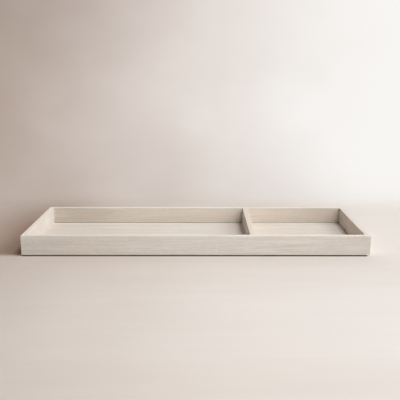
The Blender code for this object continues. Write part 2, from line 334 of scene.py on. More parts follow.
def combine(piece: Piece, others: list[Piece], how: str = "DIFFERENCE") -> None:
    """Cuts pieces out of a piece, or adds them to it, and uses them up.

    Args:
        piece: The piece that stays.
        others: The cutters, or what is added. They don't touch each other.
        how: The Boolean modifier's operation.
    """
    lay_out(*others)
    if len(others) > 1:
        bpy.ops.object.join()
    tool = bpy.context.object
    lay_out(piece)
    cut = piece.modifiers.new("cut", "BOOLEAN")
    cut.operation = how
    cut.object = tool
    cut.solver = "EXACT"
    bpy.ops.object.modifier_apply(modifier=cut.name)
    discard(tool)


def discard(piece: Piece) -> None:
    """Throws away a cutter or a pattern."""
    bpy.data.objects.remove(piece, do_unlink=True)


def copy_of(piece: Piece, name: str, place: Matrix) -> Piece:
    """Copies a piece with a mesh of its own.

    Args:
        piece: The piece to copy.
        name: The copy's name.
        place: The copy's place, from the piece's own.

    Returns:
        The copy, with its place in its mesh.
    """
    copy = piece.copy()
    copy.data = piece.data.copy()
    copy.data.transform(place)
    copy.name = name
    copy.data.name = name
    bpy.context.scene.collection.objects.link(copy)
    return copy


def smooth(piece: Piece, angle: float = 40.0) -> None:
    """Merges a finished piece's doubles, shades it smooth and keeps its large flat faces flat.

    Args:
        piece: The piece.
        angle: Degrees above which an edge stays sharp.
    """
    with at_the_bench(piece):
        close_up()
    bpy.ops.object.shade_smooth_by_angle(angle=math.radians(angle))
    weights = piece.modifiers.new("weights", "WEIGHTED_NORMAL")
    weights.keep_sharp = True
    bpy.ops.object.modifier_apply(modifier=weights.name)


def fit(piece: Piece, slot: str, materials: list[Material], *nodes: str) -> None:
    """Finishes a piece and fixes it to the tray.

    Args:
        piece: The piece.
        slot: The record's material slot that it belongs to; not used.
        materials: Its finish, or the finishes of its faces by number.
        nodes: The frame's nodes that it stands for.
    """
    if len(piece.data.materials) != len(materials):
        piece.data.materials.clear()
        for _ in materials:
            piece.data.materials.append(None)
    for number, material in enumerate(materials):
        piece.data.materials[number] = material
    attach(piece, ROOT)
    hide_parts(*nodes)
    log.info("%s: %d faces, for %s", piece.name, len(piece.data.polygons), ", ".join(nodes))


def corners(node: str) -> tuple[Vector, Vector]:
    """The lowest and the highest corner of a node of the frame."""
    low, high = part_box(node)
    return Vector(low), Vector(high)


class Value:
    """What a node puts out, so that a finish is reckoned as plain sums."""

    def __init__(self, sketch: "NodeSketch", socket: bpy.types.NodeSocket) -> None:
        """Keeps the sketch and the node's output."""
        self.sketch = sketch
        self.socket = socket

    def __add__(self, other: object) -> "Value":
        """Adds to this value."""
        return self.sketch.math("ADD", self, other)

    def __sub__(self, other: object) -> "Value":
        """Takes away from this value."""
        return self.sketch.math("SUBTRACT", self, other)

    def __rsub__(self, other: object) -> "Value":
        """Takes this value away."""
        return self.sketch.math("SUBTRACT", other, self)

    def __mul__(self, other: object) -> "Value":
        """Multiplies this value."""
        return self.sketch.math("MULTIPLY", self, other)

    def __truediv__(self, other: object) -> "Value":
        """Divides this value."""
        return self.sketch.math("DIVIDE", self, other)


class NodeSketch:
    """Adds nodes to a material's, a group's or the world's tree and joins them up."""

    def __init__(self, tree: bpy.types.NodeTree) -> None:
        """Takes the tree to draw in."""
        self.tree = tree

    def add(self, kind: str, inputs: dict | None = None, **settings: object) -> bpy.types.Node:
        """Adds one node.

        Args:
            kind: The node's type name, without a leading ShaderNode.
            inputs: What its inputs get, by name or number.
            settings: Values for the node's own properties.

        Returns:
            The new node.
        """
        prefix = "" if kind.startswith("Node") else "ShaderNode"
        node = self.tree.nodes.new(prefix + kind)
        for name, value in settings.items():
            setattr(node, name, value)
        self.feed(node, inputs or {})
        return node

    def feed(self, node: bpy.types.Node, inputs: dict) -> None:
        """Links values to a node's inputs, or sets them to plain numbers and tuples.

        Args:
            node: The node.
            inputs: What its inputs get, by name or number.
        """
        for name, value in inputs.items():
            if isinstance(value, Value):
                self.tree.links.new(value.socket, node.inputs[name])
            else:
                node.inputs[name].default_value = value

    def get(self, kind: str, inputs: dict | None = None, output: object = 0, **settings: object) -> Value:
        """Adds one node and takes one of its outputs, by name or number."""
        return Value(self, self.add(kind, inputs, **settings).outputs[output])

    def math(self, operation: str, *values: object) -> Value:
        """Adds a Math node, or a Vector Math node where the first value is a vector."""
        vector = isinstance(values[0], Value) and values[0].socket.type == "VECTOR"
        return self.get("VectorMath" if vector else "Math", dict(enumerate(values)), operation=operation)

    def place(self) -> Value:
        """The place on the piece, which is the place in the tray."""
        return self.get("TexCoord", output="Object")

    def axes(self, vector: Value) -> list[Value]:
        """Splits a vector into its X, Y and Z."""
        return [Value(self, socket) for socket in self.add("SeparateXYZ", {0: vector}).outputs]

    def vector(self, x: object, y: object = 0.0, z: object = 0.0) -> Value:
        """Joins three values into a vector."""
        return self.get("CombineXYZ", {"X": x, "Y": y, "Z": z})

    def steps(self, value: Value, low: object, high: object) -> Value:
        """Maps a value smoothly from 0 at the low end to 1 at the high end."""
        inputs = {"Value": value, "From Min": low, "From Max": high}
        return self.get("MapRange", inputs, interpolation_type="SMOOTHSTEP")

    def held(self, value: Value) -> Value:
        """Keeps a value between 0 and 1."""
        return self.get("Clamp", {"Value": value})

    def bump(self, height: Value, distance: float, strength: float) -> Value:
        """Raises the surface by a height of 0 to 1, with this distance in metres."""
        return self.get("Bump", {"Height": height, "Distance": distance, "Strength": strength})

    def blend(self, factor: object, first: object, second: object, how: str = "MIX") -> Value:
        """Lays a second colour on a first one.

        Args:
            factor: How much of the second colour there is.
            first: The first colour, as a value or as three numbers.
            second: The second colour, as a value or as three numbers.
            how: The way in which the second lies on the first.

        Returns:
            The mixed colour.
        """
        node = self.add("Mix", {"Factor": factor}, data_type="RGBA", blend_type=how)
        slots = [number for number, socket in enumerate(node.inputs) if socket.type == "RGBA"]
        for number, value in zip(slots, (first, second)):
            self.feed(node, {number: (*value, 1.0) if isinstance(value, tuple) else value})
        return Value(self, next(socket for socket in node.outputs if socket.type == "RGBA"))

    def group(self, tree: bpy.types.NodeTree, inputs: dict) -> dict[str, Value]:
        """Places a node group and takes its outputs by name."""
        node = self.add("Group", inputs, node_tree=tree)
        return {socket.name: Value(self, socket) for socket in node.outputs}


@dataclass(frozen=True)
class Mottle:
    """Noise in a finish, by its lumps in a metre along X, Y and Z.

    As a mask it is 0 up to the low value and 1 from the high value on.
    """

    scale: Place
    detail: float = 2.0
    low: float = 0.0
    high: float = 1.0
    shift: Place | None = None

    def noise(self, sketch: NodeSketch, place: Value) -> Value:
        """Reads the noise at a place, about 0.5 on average."""
        moved = place + self.shift if self.shift else place
        return sketch.get("TexNoise", {"Vector": moved * self.scale, "Scale": 1.0, "Detail": self.detail})

    def mask(self, sketch: NodeSketch, place: Value) -> Value:
        """Reads the mask at a place."""
        return sketch.steps(self.noise(sketch, place), self.low, self.high)


@dataclass
class SharedEffects:
    """The node groups that more than one finish uses, each made once."""

    sway: Mottle = Mottle((1.3, 7.0, 7.0), 1.0)
    shake: Mottle = Mottle((7.0, 45.0, 45.0))
    shake_depth: float = 2.2 * MM
    years: Mottle = Mottle((0.45, 1.0, 1.0), 1.0, 0.2, 0.75)
    year_spread: float = 2.5
    late_wood: Range = (0.1, 0.9)
    ring_end: Range = (1.0, 0.93)
    early_wood: Range = (0.0, 0.5)
    bands: Mottle = Mottle((0.22, 1.6, 1.0), 2.0, 0.36, 0.64)
    pores: Mottle = Mottle((130.0, 1900.0, 1900.0), 1.0)
    pore_limits: Range = (0.57, 0.09)
    pore_sharpness: float = 16.0
    streak_layers: tuple[tuple[Mottle, float], ...] = (
        (Mottle((2.4, 85.0, 85.0)), 0.34),
        (Mottle((8.0, 230.0, 230.0), 3.0), 0.34),
        (Mottle((55.0, 290.0, 290.0), shift=(2.0, 4.0, 1.0)), 0.32),
    )
    streaks: Range = (0.38, 0.62)
    drift: Mottle = Mottle((2.3, 17.0, 17.0), 2.0, 0.34, 0.66)
    blush: Mottle = Mottle((4.5, 60.0, 60.0), 2.0, 0.48, 0.72, (3.0, 1.0, 5.0))
    flecks: Mottle = Mottle((38.0, 190.0, 260.0), 1.0, 0.62, 0.74)
    rubbed: Mottle = Mottle((140.0, 140.0, 140.0), 2.0, 0.35, 0.6)
    blotches: Mottle = Mottle((0.35, 0.35, 0.35), 3.0, 0.35, 0.65)
    scratches: Mottle = Mottle((0.4, 6.0, 5.0), 1.0, 0.6, 0.72, (7.0, 3.0, 1.0))
    edge_reach: float = 3.0 * MM
    joint_reach: float = 1.7 * MM
    joint_core_share: float = 0.6
    foot_height: float = 62 * MM
    past_face: float = 1.0 * MM
    lit_joint_reach: float = 0.3
    lit_joint_share: float = 0.5

    def __post_init__(self) -> None:
        """Makes the groups, whose plain inputs get their own values in each finish."""
        place = {"Vector": (0.0, 0.0, 0.0)}
        board = {"Centre": (0.0, 0.0, 0.0), "Half Size": (0.0, 0.0, 0.0), "Reach": self.edge_reach}
        joint = {"Reach": self.joint_reach, "Height": self.foot_height}
        wood = {"Ring Width": MM, "Waviness": MM}
        self.grain = self._group("oak_grain", {**place, **wood}, self._grain)
        self.edges = self._group("rubbed_edges", {**place, **board}, self._edges)
        self.joints = self._group("joint_shadows", {**place, **joint}, self._joints)
        self.scuffs = self._group("scuffs", {**place, "Scale": 1.0}, self._scuffs)

    @staticmethod
    def _group(name: str, inputs: dict[str, object], draw: Callable) -> bpy.types.NodeTree:
        """Makes a shader node group.

        Args:
            name: The group's name.
            inputs: Each input's name and default, a number or a tuple of three.
            draw: Draws the group from a sketch and its inputs, and returns its outputs by name.

        Returns:
            The group.
        """
        tree = bpy.data.node_groups.new(name, "ShaderNodeTree")
        for label, default in inputs.items():
            kind = "NodeSocketVector" if isinstance(default, tuple) else "NodeSocketFloat"
            socket = tree.interface.new_socket(label, in_out="INPUT", socket_type=kind)
            socket.default_value = default
        sketch = NodeSketch(tree)
        given = sketch.add("NodeGroupInput").outputs
        outputs = draw(sketch, {label: Value(sketch, given[label]) for label in inputs})
        for label in outputs:
            tree.interface.new_socket(label, in_out="OUTPUT", socket_type="NodeSocketFloat")
        sketch.add("NodeGroupOutput", outputs)
        return tree

    def _grain(self, sketch: NodeSketch, given: dict[str, Value]) -> dict[str, Value]:
        """Draws growth rings, pores, streaks and ray flecks round a pith that runs along X.

        Args:
            sketch: The group's sketch.
            given: The group's inputs. The vector is in metres from the pith.

        Returns:
            The group's outputs.
        """
        place = given["Vector"]
        along, across, up = sketch.axes(place)
        sway = (self.sway.noise(sketch, place) - 0.5) * given["Waviness"]
        shake = (self.shake.noise(sketch, place) - 0.5) * self.shake_depth
        radius = sketch.math("SQRT", across * across + up * up) + (sway + shake)
        count = radius / given["Ring Width"]
        year = sketch.vector(count)
        ring = sketch.math("FRACT", self.years.noise(sketch, year) * self.year_spread + count)
        late = sketch.steps(ring, *self.late_wood) * sketch.steps(ring, *self.ring_end)
        least, crowding = self.pore_limits
        limit = sketch.steps(ring, *self.early_wood) * crowding + least
        layers = [layer.noise(sketch, place) * share for layer, share in self.streak_layers]
        fan = sketch.vector(along, radius, sketch.math("ARCTAN2", up, across))
        return {
            "Rings": late * self.years.mask(sketch, year),
            "Bands": self.bands.mask(sketch, sketch.vector(count, along)),
            "Pores": sketch.held((self.pores.noise(sketch, place) - limit) * self.pore_sharpness),
            "Streaks": sketch.steps(layers[0] + layers[1] + layers[2], *self.streaks),
            "Drift": self.drift.mask(sketch, place),
            "Blush": self.blush.mask(sketch, place),
            "Flecks": self.flecks.mask(sketch, fan),
        }

    def _edges(self, sketch: NodeSketch, given: dict[str, Value]) -> dict[str, Value]:
        """Draws a mask that is 1 along the twelve edges of a board, where hands rub it.

        Args:
            sketch: The group's sketch.
            given: The group's inputs. The vector, centre and half size are in the tray's metres.

        Returns:
            The group's outputs.
        """
        offset = sketch.math("ABSOLUTE", given["Vector"] - given["Centre"])
        x, y, z = sketch.axes(given["Half Size"] - offset)
        most = sketch.math("MINIMUM", sketch.math("MAXIMUM", x, y), z)
        second = sketch.math("MAXIMUM", sketch.math("MINIMUM", x, y), most)
        worn = 1.0 - sketch.held(second / given["Reach"])
        return {"Edge": worn * self.rubbed.mask(sketch, given["Vector"])}

    def _joints(self, sketch: NodeSketch, given: dict[str, Value]) -> dict[str, Value]:
        """Draws masks for the long joints where the panel meets the rails.

        Joint is 1 in the open joint itself, where a shadow is painted, and Foot, a painted shade,
        falls from 1 there to 0 higher up the rails. Less of the joint's painted shadow lies beside the
        divider, in the short bay, where more light gets in.

        Args:
            sketch: The group's sketch.
            given: The group's inputs. The vector is in the tray's metres.

        Returns:
            The group's outputs.
        """
        across, along, up = sketch.axes(given["Vector"])
        to_rails = corners("back_rail")[0].y - sketch.math("ABSOLUTE", along)
        rise = up - corners("base_panel")[1].z
        width = corners("right_end")[0].x + self.past_face
        between = sketch.math("LESS_THAN", sketch.math("ABSOLUTE", across), width)
        least = sketch.math("MINIMUM", to_rails, rise)
        inside = sketch.math("GREATER_THAN", least, -self.past_face) * between
        far = sketch.math("MAXIMUM", to_rails, 0.0) + sketch.math("MAXIMUM", rise, 0.0)
        close = sketch.steps(far, given["Reach"], given["Reach"] * self.joint_core_share)
        left, right = (corner.x for corner in corners("divider"))
        past = sketch.math("GREATER_THAN", across, left)
        # Less of the painted joint shadow beside the divider, where more light gets in.
        tight = past * sketch.steps(across, right + self.lit_joint_reach, right)
        on_rail = inside * sketch.math("LESS_THAN", to_rails, self.past_face)
        return {
            "Joint": close * (1.0 - tight * self.lit_joint_share) * inside,
            "Foot": on_rail * sketch.steps(rise, given["Height"], 0.0),
        }

    def _scuffs(self, sketch: NodeSketch, given: dict[str, Value]) -> dict[str, Value]:
        """Draws blotches and fine scratches for metal and rubber.

        Args:
            sketch: The group's sketch.
            given: The group's inputs. The vector is in the tray's metres.

        Returns:
            The group's outputs.
        """
        place = given["Vector"] * given["Scale"]
        masks = {"Blotch": self.blotches, "Scratch": self.scratches}
        return {label: mottle.mask(sketch, place) for label, mottle in masks.items()}


def new_material(name: str) -> tuple[Material, NodeSketch, bpy.types.Node]:
    """Makes a material with nodes.

    Args:
        name: The material's name.

    Returns:
        The material, a sketch on its tree, and its Principled shader.
    """
    material = bpy.data.materials.new(name)
    material.use_nodes = True
    return material, NodeSketch(material.node_tree), material.node_tree.nodes["Principled BSDF"]


@dataclass(frozen=True)
class Fade:
    """A stretch of a board with painted shade, where it is less lit, between two places along its grain.

    Its top share is how much of this reaches the board's top.
    """

    start: float
    end: float
    depth: float
    top_share: float = 0.4


@dataclass(frozen=True)
class LogCut:
    """How a board was sawn from its log, its tint, and the painted light and shade on it.

    The pith is given from the board's middle, and the lean in degrees, sideways and up.
    """

    grain: Grain
    pith: Place
    lean: tuple[float, float]
    brown: float = 0.0
    warmth: float = 0.5
    tint: Colour = PLAIN
    top_light_shade: Colour = PLAIN
    shade_fades: tuple[Fade, ...] = ()

    def onto_log(self, middle: Vector) -> dict[str, Vector]:
        """Works out the mapping from the tray to the log, whose pith then runs along X.

        Args:
            middle: The board's middle.

        Returns:
            The mapping's shift and its turn, by the names of its inputs.
        """
        sideways, up = (math.radians(angle) for angle in self.lean)
        turned = Matrix.Rotation(math.radians(self.grain.value), 3, "Z")
        leaned = Matrix.Rotation(up, 3, "Y") @ Matrix.Rotation(sideways, 3, "Z") @ turned
        return {
            "Location": -(leaned @ (middle + Vector(self.pith))),
            "Rotation": Vector(leaned.to_euler()),
        }


@dataclass(frozen=True)
class BleachedOak:
    """Solid white oak under a thin lime wash and a matte lacquer."""

    effects: SharedEffects
    light: Colour = (0.83, 0.765, 0.685)
    dark: Colour = (0.60, 0.51, 0.41)
    cool: Colour = (0.72, 0.685, 0.62)
    blush: Colour = (0.86, 0.745, 0.64)
    tan: Colour = (0.66, 0.55, 0.43)
    pore: Colour = (0.43, 0.355, 0.27)
    lime: Colour = (0.90, 0.85, 0.775)
    shade_tone: Colour = (0.60, 0.57, 0.54)
    joint_shadow: Colour = (0.07, 0.055, 0.042)
    joint_shade: float = 0.9
    foot_shade: float = 0.34
    foot_highlight: float = 0.8
    top_and_foot_reach: float = 2.0 * MM
    top_start: float = 0.2 * MM
    foot_reach: float = 5.0 * MM
    rub: float = 0.2
    warmest: float = 1.5
    least_blush: float = 0.2
    ring_contrast: float = 0.22
    band_contrast: float = 0.19
    streak_contrast: float = 0.37
    drift_contrast: float = 0.36
    fleck_strength: float = 0.12
    pore_strength: float = 0.42
    pore_dullness: float = 0.15
    ring_relief: float = 0.25
    ring_width: float = 3.2 * MM
    waviness: float = 9.0 * MM
    relief: float = 0.10 * MM
    relief_strength: float = 0.5
    roughness: float = 0.55
    gloss_index: float = 1.45

    def material(self, name: str, low: Vector, high: Vector, sawn: LogCut) -> Material:
        """Makes the finish of one board.

        Args:
            name: The material's name.
            low: The board's lowest corner.
            high: The board's highest corner.
            sawn: How the board was sawn.

        Returns:
            The material.
        """
        material, sketch, shader = new_material(name)
        where = sketch.place()
        middle = (low + high) / 2
        figure = self.figure(sketch, where, middle, sawn)
        height = sketch.axes(where)[2]
        top = sketch.steps(height, high.z - self.top_and_foot_reach, high.z - self.top_start)
        foot = sketch.steps(height, low.z + self.foot_reach, low.z + self.top_and_foot_reach)
        colour = self.colour(sketch, figure, sawn, where, top)
        # Painted light and shade on the board's top, which is made lighter or darker than its sides, per
        # board.
        colour = sketch.blend(top, colour, sawn.top_light_shade, "MULTIPLY")
        # A painted highlight on the board's lowest few millimetres, where its lower arris catches light.
        colour = sketch.blend(foot * self.foot_highlight, colour, self.lime)
        size = {"Vector": where, "Centre": middle, "Half Size": (high - low) / 2}
        worn = sketch.group(self.effects.edges, size)["Edge"]
        colour = sketch.blend(worn * self.rub, colour, self.lime)
        self.surface(sketch, shader, figure, self.shade_corners(sketch, where, colour))
        return material

    def shade_corners(self, sketch: NodeSketch, where: Value, colour: Value) -> Value:
        """Paints a shadow into the open joint between panel and rails, and shade on the rails near it.

        Args:
            sketch: The material's sketch.
            where: The place in the tray.
            colour: The wood's colour.

        Returns:
            The colour with its painted joint shadow and shade.
        """
        joints = sketch.group(self.effects.joints, {"Vector": where})
        # Painted shade low on the rails' inner faces, and a painted shadow in the joint.
        colour = sketch.blend(joints["Foot"] * self.foot_shade, colour, self.shade_tone, "MULTIPLY")
        return sketch.blend(joints["Joint"] * self.joint_shade, colour, self.joint_shadow)

    def figure(self, sketch: NodeSketch, where: Value, middle: Vector, sawn: LogCut) -> dict[str, Value]:
        """Places the shared grain.

        Args:
            sketch: The material's sketch.
            where: The place on the board.
            middle: The board's middle.
            sawn: How the board was sawn.

        Returns:
            The grain's masks by name.
        """
        log_place = sketch.get("Mapping", {"Vector": where, **sawn.onto_log(middle)})
        inputs = {"Vector": log_place, "Ring Width": self.ring_width, "Waviness": self.waviness}
        return sketch.group(self.effects.grain, inputs)

    def colour(
        self, sketch: NodeSketch, figure: dict[str, Value], sawn: LogCut, where: Value, top: object
    ) -> Value:
        """Mixes the wood's colour.

        Args:
            sketch: The material's sketch.
            figure: The grain's masks by name.
            sawn: How the board was sawn, its tint and its painted light and shade.
            where: The place in the tray.
            top: A mask of the board's top, which takes each fade's top share of the painted shade, or 0.

        Returns:
            The colour.
        """
        cool_share = self.drift_contrast * (self.warmest - sawn.warmth)
        blush_share = self.least_blush + (1.0 - self.least_blush) * sawn.warmth
        colour = sketch.blend(figure["Drift"] * cool_share, self.light, self.cool)
        colour = sketch.blend(figure["Blush"] * blush_share, colour, self.blush)
        colour = sketch.blend(sawn.brown, colour, self.tan)
        tone = figure["Rings"] * self.ring_contrast + figure["Bands"] * self.band_contrast
        colour = sketch.blend(tone + figure["Streaks"] * self.streak_contrast, colour, self.dark)
        colour = sketch.blend(figure["Flecks"] * self.fleck_strength, colour, self.lime)
        colour = sketch.blend(figure["Pores"] * self.pore_strength, colour, self.pore)
        along = sketch.axes(where)[0 if sawn.grain is Grain.WIDTH else 1]
        # Painted shade along the board where it is less lit, with its top share on the top.
        for fade in sawn.shade_fades:
            share = sketch.steps(along, fade.start, fade.end) * fade.depth
            share *= top * (fade.top_share - 1.0) + 1.0
            colour = sketch.blend(share, colour, self.shade_tone, "MULTIPLY")
        return sketch.blend(1.0, colour, sawn.tint, "MULTIPLY")

    def surface(
        self, sketch: NodeSketch, shader: bpy.types.Node, figure: dict[str, Value], colour: Value
    ) -> None:
        """Feeds the shader with the colour, the sheen of the lacquer and the open grain.

        Args:
            sketch: The material's sketch.
            shader: The Principled shader.
            figure: The grain's masks by name.
            colour: The wood's colour.
        """
        height = figure["Rings"] * self.ring_relief - figure["Pores"]
        inputs = {
            "Base Color": colour,
            "Roughness": figure["Pores"] * self.pore_dullness + self.roughness,
            "Normal": sketch.bump(height, self.relief, self.relief_strength),
            "IOR": self.gloss_index,
        }
        sketch.feed(shader, inputs)


@dataclass(frozen=True)
class VeneeredPly(BleachedOak):
    """Bleached oak veneer in book-matched leaves on both faces of a thin plywood."""

    band_contrast: float = 0.3
    streak_contrast: float = 0.33
    leaf_width: float = 148 * MM
    veneer: float = 0.6 * MM
    ply: float = 1.2 * MM
    glue_share: float = 0.1
    core: Colour = (0.70, 0.56, 0.40)
    glue: Colour = (0.30, 0.20, 0.12)

    def material(self, name: str, low: Vector, high: Vector, sawn: LogCut) -> Material:
        """Makes the finish of a panel, whose plies show at its edges and holes.

        Args:
            name: The material's name.
            low: The panel's lowest corner.
            high: The panel's highest corner.
            sawn: How the veneer was cut.

        Returns:
            The material.
        """
        material, sketch, shader = new_material(name)
        where = sketch.place()
        x, y, z = sketch.axes(where)
        middle = (low + high) / 2
        folded = sketch.math("PINGPONG", y + self.leaf_width / 2, self.leaf_width)
        leaf_middle = Vector((middle.x, self.leaf_width / 2, middle.z))
        figure = self.figure(sketch, sketch.vector(x, folded, z), leaf_middle, sawn)
        colour = self.shade_corners(sketch, where, self.colour(sketch, figure, sawn, where, 0.0))
        depth = sketch.math("ABSOLUTE", z - middle.z)
        inside = sketch.math("LESS_THAN", depth, (high.z - low.z) / 2 - self.veneer)
        layer = sketch.math("FRACT", (depth + self.ply / 2) / self.ply)
        plies = sketch.blend(sketch.math("LESS_THAN", layer, self.glue_share), self.core, self.glue)
        self.surface(sketch, shader, figure, sketch.blend(inside, colour, plies))
        return material


@dataclass(frozen=True)
class Beech:
    """Raw beech, pinkish, with short darker flecks."""

    effects: SharedEffects
    light: Colour = (0.70, 0.51, 0.34)
    dark: Colour = (0.52, 0.34, 0.20)
    ring_width: float = 1.6 * MM
    waviness: float = 2.0 * MM
    streak_contrast: float = 0.4
    fleck_contrast: float = 0.5
    relief: float = 0.05 * MM
    relief_strength: float = 0.4
    roughness: float = 0.75

    def material(self, name: str) -> Material:
        """Makes the finish of the loose tongues and the dowels.

        Args:
            name: The material's name.

        Returns:
            The material.
        """
        material, sketch, shader = new_material(name)
        inputs = {"Vector": sketch.place(), "Ring Width": self.ring_width, "Waviness": self.waviness}
        figure = sketch.group(self.effects.grain, inputs)
        tone = figure["Streaks"] * self.streak_contrast + figure["Flecks"] * self.fleck_contrast
        inputs = {
            "Base Color": sketch.blend(tone, self.light, self.dark),
            "Normal": sketch.bump(figure["Pores"], self.relief, self.relief_strength),
            "Roughness": self.roughness,
        }
        sketch.feed(shader, inputs)
        return material


@dataclass(frozen=True)
class Metal:
    """A plated or turned metal with handling marks."""

    effects: SharedEffects
    bright: Colour
    dull: Colour
    roughness: float
    scale: float = 1400.0
    blotch_dullness: float = 0.12
    scratch_dullness: float = 0.1

    def material(self, name: str) -> Material:
        """Makes the finish.

        Args:
            name: The material's name.

        Returns:
            The material.
        """
        material, sketch, shader = new_material(name)
        marks = sketch.group(self.effects.scuffs, {"Vector": sketch.place(), "Scale": self.scale})
        dulled = marks["Blotch"] * self.blotch_dullness + marks["Scratch"] * self.scratch_dullness
        inputs = {
            "Base Color": sketch.blend(marks["Blotch"], self.bright, self.dull),
            "Roughness": dulled + self.roughness,
            "Metallic": 1.0,
        }
        sketch.feed(shader, inputs)
        return material


@dataclass(frozen=True)
class Soft:
    """A matte rubber or foam with a fine texture."""

    effects: SharedEffects
    base: Colour
    worn: Colour
    roughness: float
    texture: float
    scale: float = 700.0
    wear: float = 0.5
    shine: float = 0.15
    grit: Mottle = Mottle((6000.0, 6000.0, 6000.0), 1.0)
    grit_strength: float = 0.5

    def material(self, name: str) -> Material:
        """Makes the finish.

        Args:
            name: The material's name.

        Returns:
            The material.
        """
        material, sketch, shader = new_material(name)
        where = sketch.place()
        marks = sketch.group(self.effects.scuffs, {"Vector": where, "Scale": self.scale})
        inputs = {
            "Base Color": sketch.blend(marks["Blotch"] * self.wear, self.base, self.worn),
            "Roughness": self.roughness - marks["Scratch"] * self.shine,
            "Normal": sketch.bump(self.grit.noise(sketch, where), self.texture, self.grit_strength),
        }
        sketch.feed(shader, inputs)
        return material


@dataclass
class Joinery:
    """The finish, the sizes and the last steps that the boards and the panel share."""

    finish: BleachedOak
    edge_radius: float = 1.3 * MM
    edge_segments: int = 5
    joint_line: float = 0.06 * MM
    panel_play: float = 0.08 * MM

    @cached_property
    def seat(self) -> float:
        """The height of what stands on the panel."""
        return corners("base_panel")[1].z + self.panel_play

    def ease(self, piece: Piece, test: Callable[[bmesh.types.BMEdge], bool], radius: float) -> None:
        """Rounds some of a piece's edges, in edit mode."""
        mark(piece, Part.EDGES, test)
        bpy.ops.mesh.bevel(offset=radius, segments=self.edge_segments, profile=0.5, affect="EDGES")


@dataclass
class OuterFrame(Joinery):
    """Four mitred boards, with the rabbet for the panel and the sockets for what joins them."""

    foot_radius: float = 0.45 * MM
    thickness: float = 20 * MM
    lip: float = 10 * MM
    square: float = math.radians(60)
    sawn: dict[Side, LogCut] = field(
        default_factory=lambda: {
            Side.FRONT: LogCut(
                Grain.WIDTH,
                (0.0, 0.075, -0.012),
                (0.9, 0.5),
                warmth=0.35,
                tint=(1.115, 1.155, 1.215),
                top_light_shade=(0.955, 0.95, 0.945),
                shade_fades=(Fade(0.38, 0.62, 0.12), Fade(0.58, 0.66, 0.12), Fade(-0.2, -0.66, 0.06)),
            ),
            Side.BACK: LogCut(
                Grain.WIDTH,
                (0.3, 0.085, 0.02),
                (-1.1, 0.6),
                brown=0.22,
                warmth=0.6,
                tint=(1.155, 1.175, 1.215),
                top_light_shade=(0.985, 1.01, 1.06),
                shade_fades=(
                    Fade(-0.18, -0.62, 0.5, 0.22),
                    Fade(0.14, 0.22, 0.08, 1.8),
                    Fade(0.25, 0.58, 0.34, 0.5),
                ),
            ),
            Side.LEFT: LogCut(
                Grain.DEPTH,
                (-0.44, 0.16, 0.03),
                (0.8, -1.0),
                warmth=0.8,
                tint=(1.03, 1.068, 1.128),
                top_light_shade=(1.085, 1.075, 1.085),
            ),
            Side.RIGHT: LogCut(
                Grain.DEPTH,
                (0.07, 0.1, -0.04),
                (-1.8, 1.6),
                brown=0.1,
                warmth=0.7,
                tint=(1.0, 1.01, 1.05),
                top_light_shade=(0.91, 0.91, 0.91),
            ),
        }
    )

    @cached_property
    def low(self) -> Vector:
        """The lowest corner of the frame's outline."""
        return corners("front_rail")[0]

    @cached_property
    def high(self) -> Vector:
        """The highest corner of the frame's outline."""
        return corners("back_rail")[1]

    def build(self, sockets: dict[Side, list[Piece]]) -> None:
        """Makes the four boards.

        Args:
            sockets: The cutters of each board's sockets, which are used up.
        """
        ring = self._ring()
        for side in Side:
            board = copy_of(ring, f"{side.node}_board", Matrix())
            self._mitre(board, side)
            combine(board, sockets[side])
            smooth(board)
            finish = self.finish.material(f"{side.node}_oak", *corners(side.node), self.sawn[side])
            fit(board, "oak", [finish], side.node)
        discard(ring)

    def _inset_of(self, vertex: bmesh.types.BMVert) -> float:
        """How far a vertex of the ring lies inside the tray's ends."""
        return self.high.x - abs(vertex.co.x)

    def _ring(self) -> Piece:
        """Makes the whole outer frame as one ring, with its rabbet and its eased edges.

        Returns:
            The ring.
        """
        ring = block("ring", self.low, self.high)
        with at_the_bench(ring):
            mark(ring, Part.FACES, lambda face: face.normal.z > 0.5)
            bpy.ops.mesh.inset(thickness=self.thickness)
            mark(ring, Part.FACES, lambda face: face.normal.z < -0.5)
            bpy.ops.mesh.inset(thickness=self.lip)
            pull(0.0, 0.0, self.seat - self.low.z)
            bpy.ops.mesh.inset(thickness=self.thickness - self.lip)
            mark(ring, Part.FACES, self._closes_the_middle)
            bpy.ops.mesh.bridge_edge_loops()
            self.ease(ring, self._is_arris, self.edge_radius)
            self.ease(ring, self._is_foot, self.foot_radius)
            close_up()
        return ring

    def _closes_the_middle(self, face: bmesh.types.BMFace) -> bool:
        """Whether a face lies across the tray's opening."""
        return all(near(self._inset_of(vertex), self.thickness) for vertex in face.verts)

    def _is_arris(self, edge: bmesh.types.BMEdge) -> bool:
        """Tells the edges at the ring's top, at its inner foot and upright at its corners.

        Args:
            edge: An edge of the ring.

        Returns:
            Whether it is one of these.
        """
        first, second = edge.verts
        inset = self._inset_of(first)
        if not near(first.co.z, second.co.z):
            return near(inset, 0.0) and near(self._inset_of(second), 0.0)
        inner_foot = near(first.co.z, self.seat) and near(inset, self.thickness)
        return near(first.co.z, self.high.z) or inner_foot

    def _is_foot(self, edge: bmesh.types.BMEdge) -> bool:
        """Whether an edge is one of the two that run round the ring's underside."""
        level = all(near(vertex.co.z, self.low.z) for vertex in edge.verts)
        return level and len(edge.link_faces) == 2 and edge.calc_face_angle(0.0) > self.square

    def _mitre(self, board: Piece, side: Side) -> None:
        """Saws one board out of the ring.

        Args:
            board: A copy of the whole ring.
            side: The side that stays.
        """
        with at_the_bench(board):
            slice_off(Vector(), -side.outward)
            for end in (-side.along, side.along):
                away = (end - side.outward).normalized()
                reach = side.outward + end
                corner = Vector((reach.x * self.high.x, reach.y * self.high.y, 0.0))
                slice_off(corner - away * self.joint_line / 2, away)
            close_up()


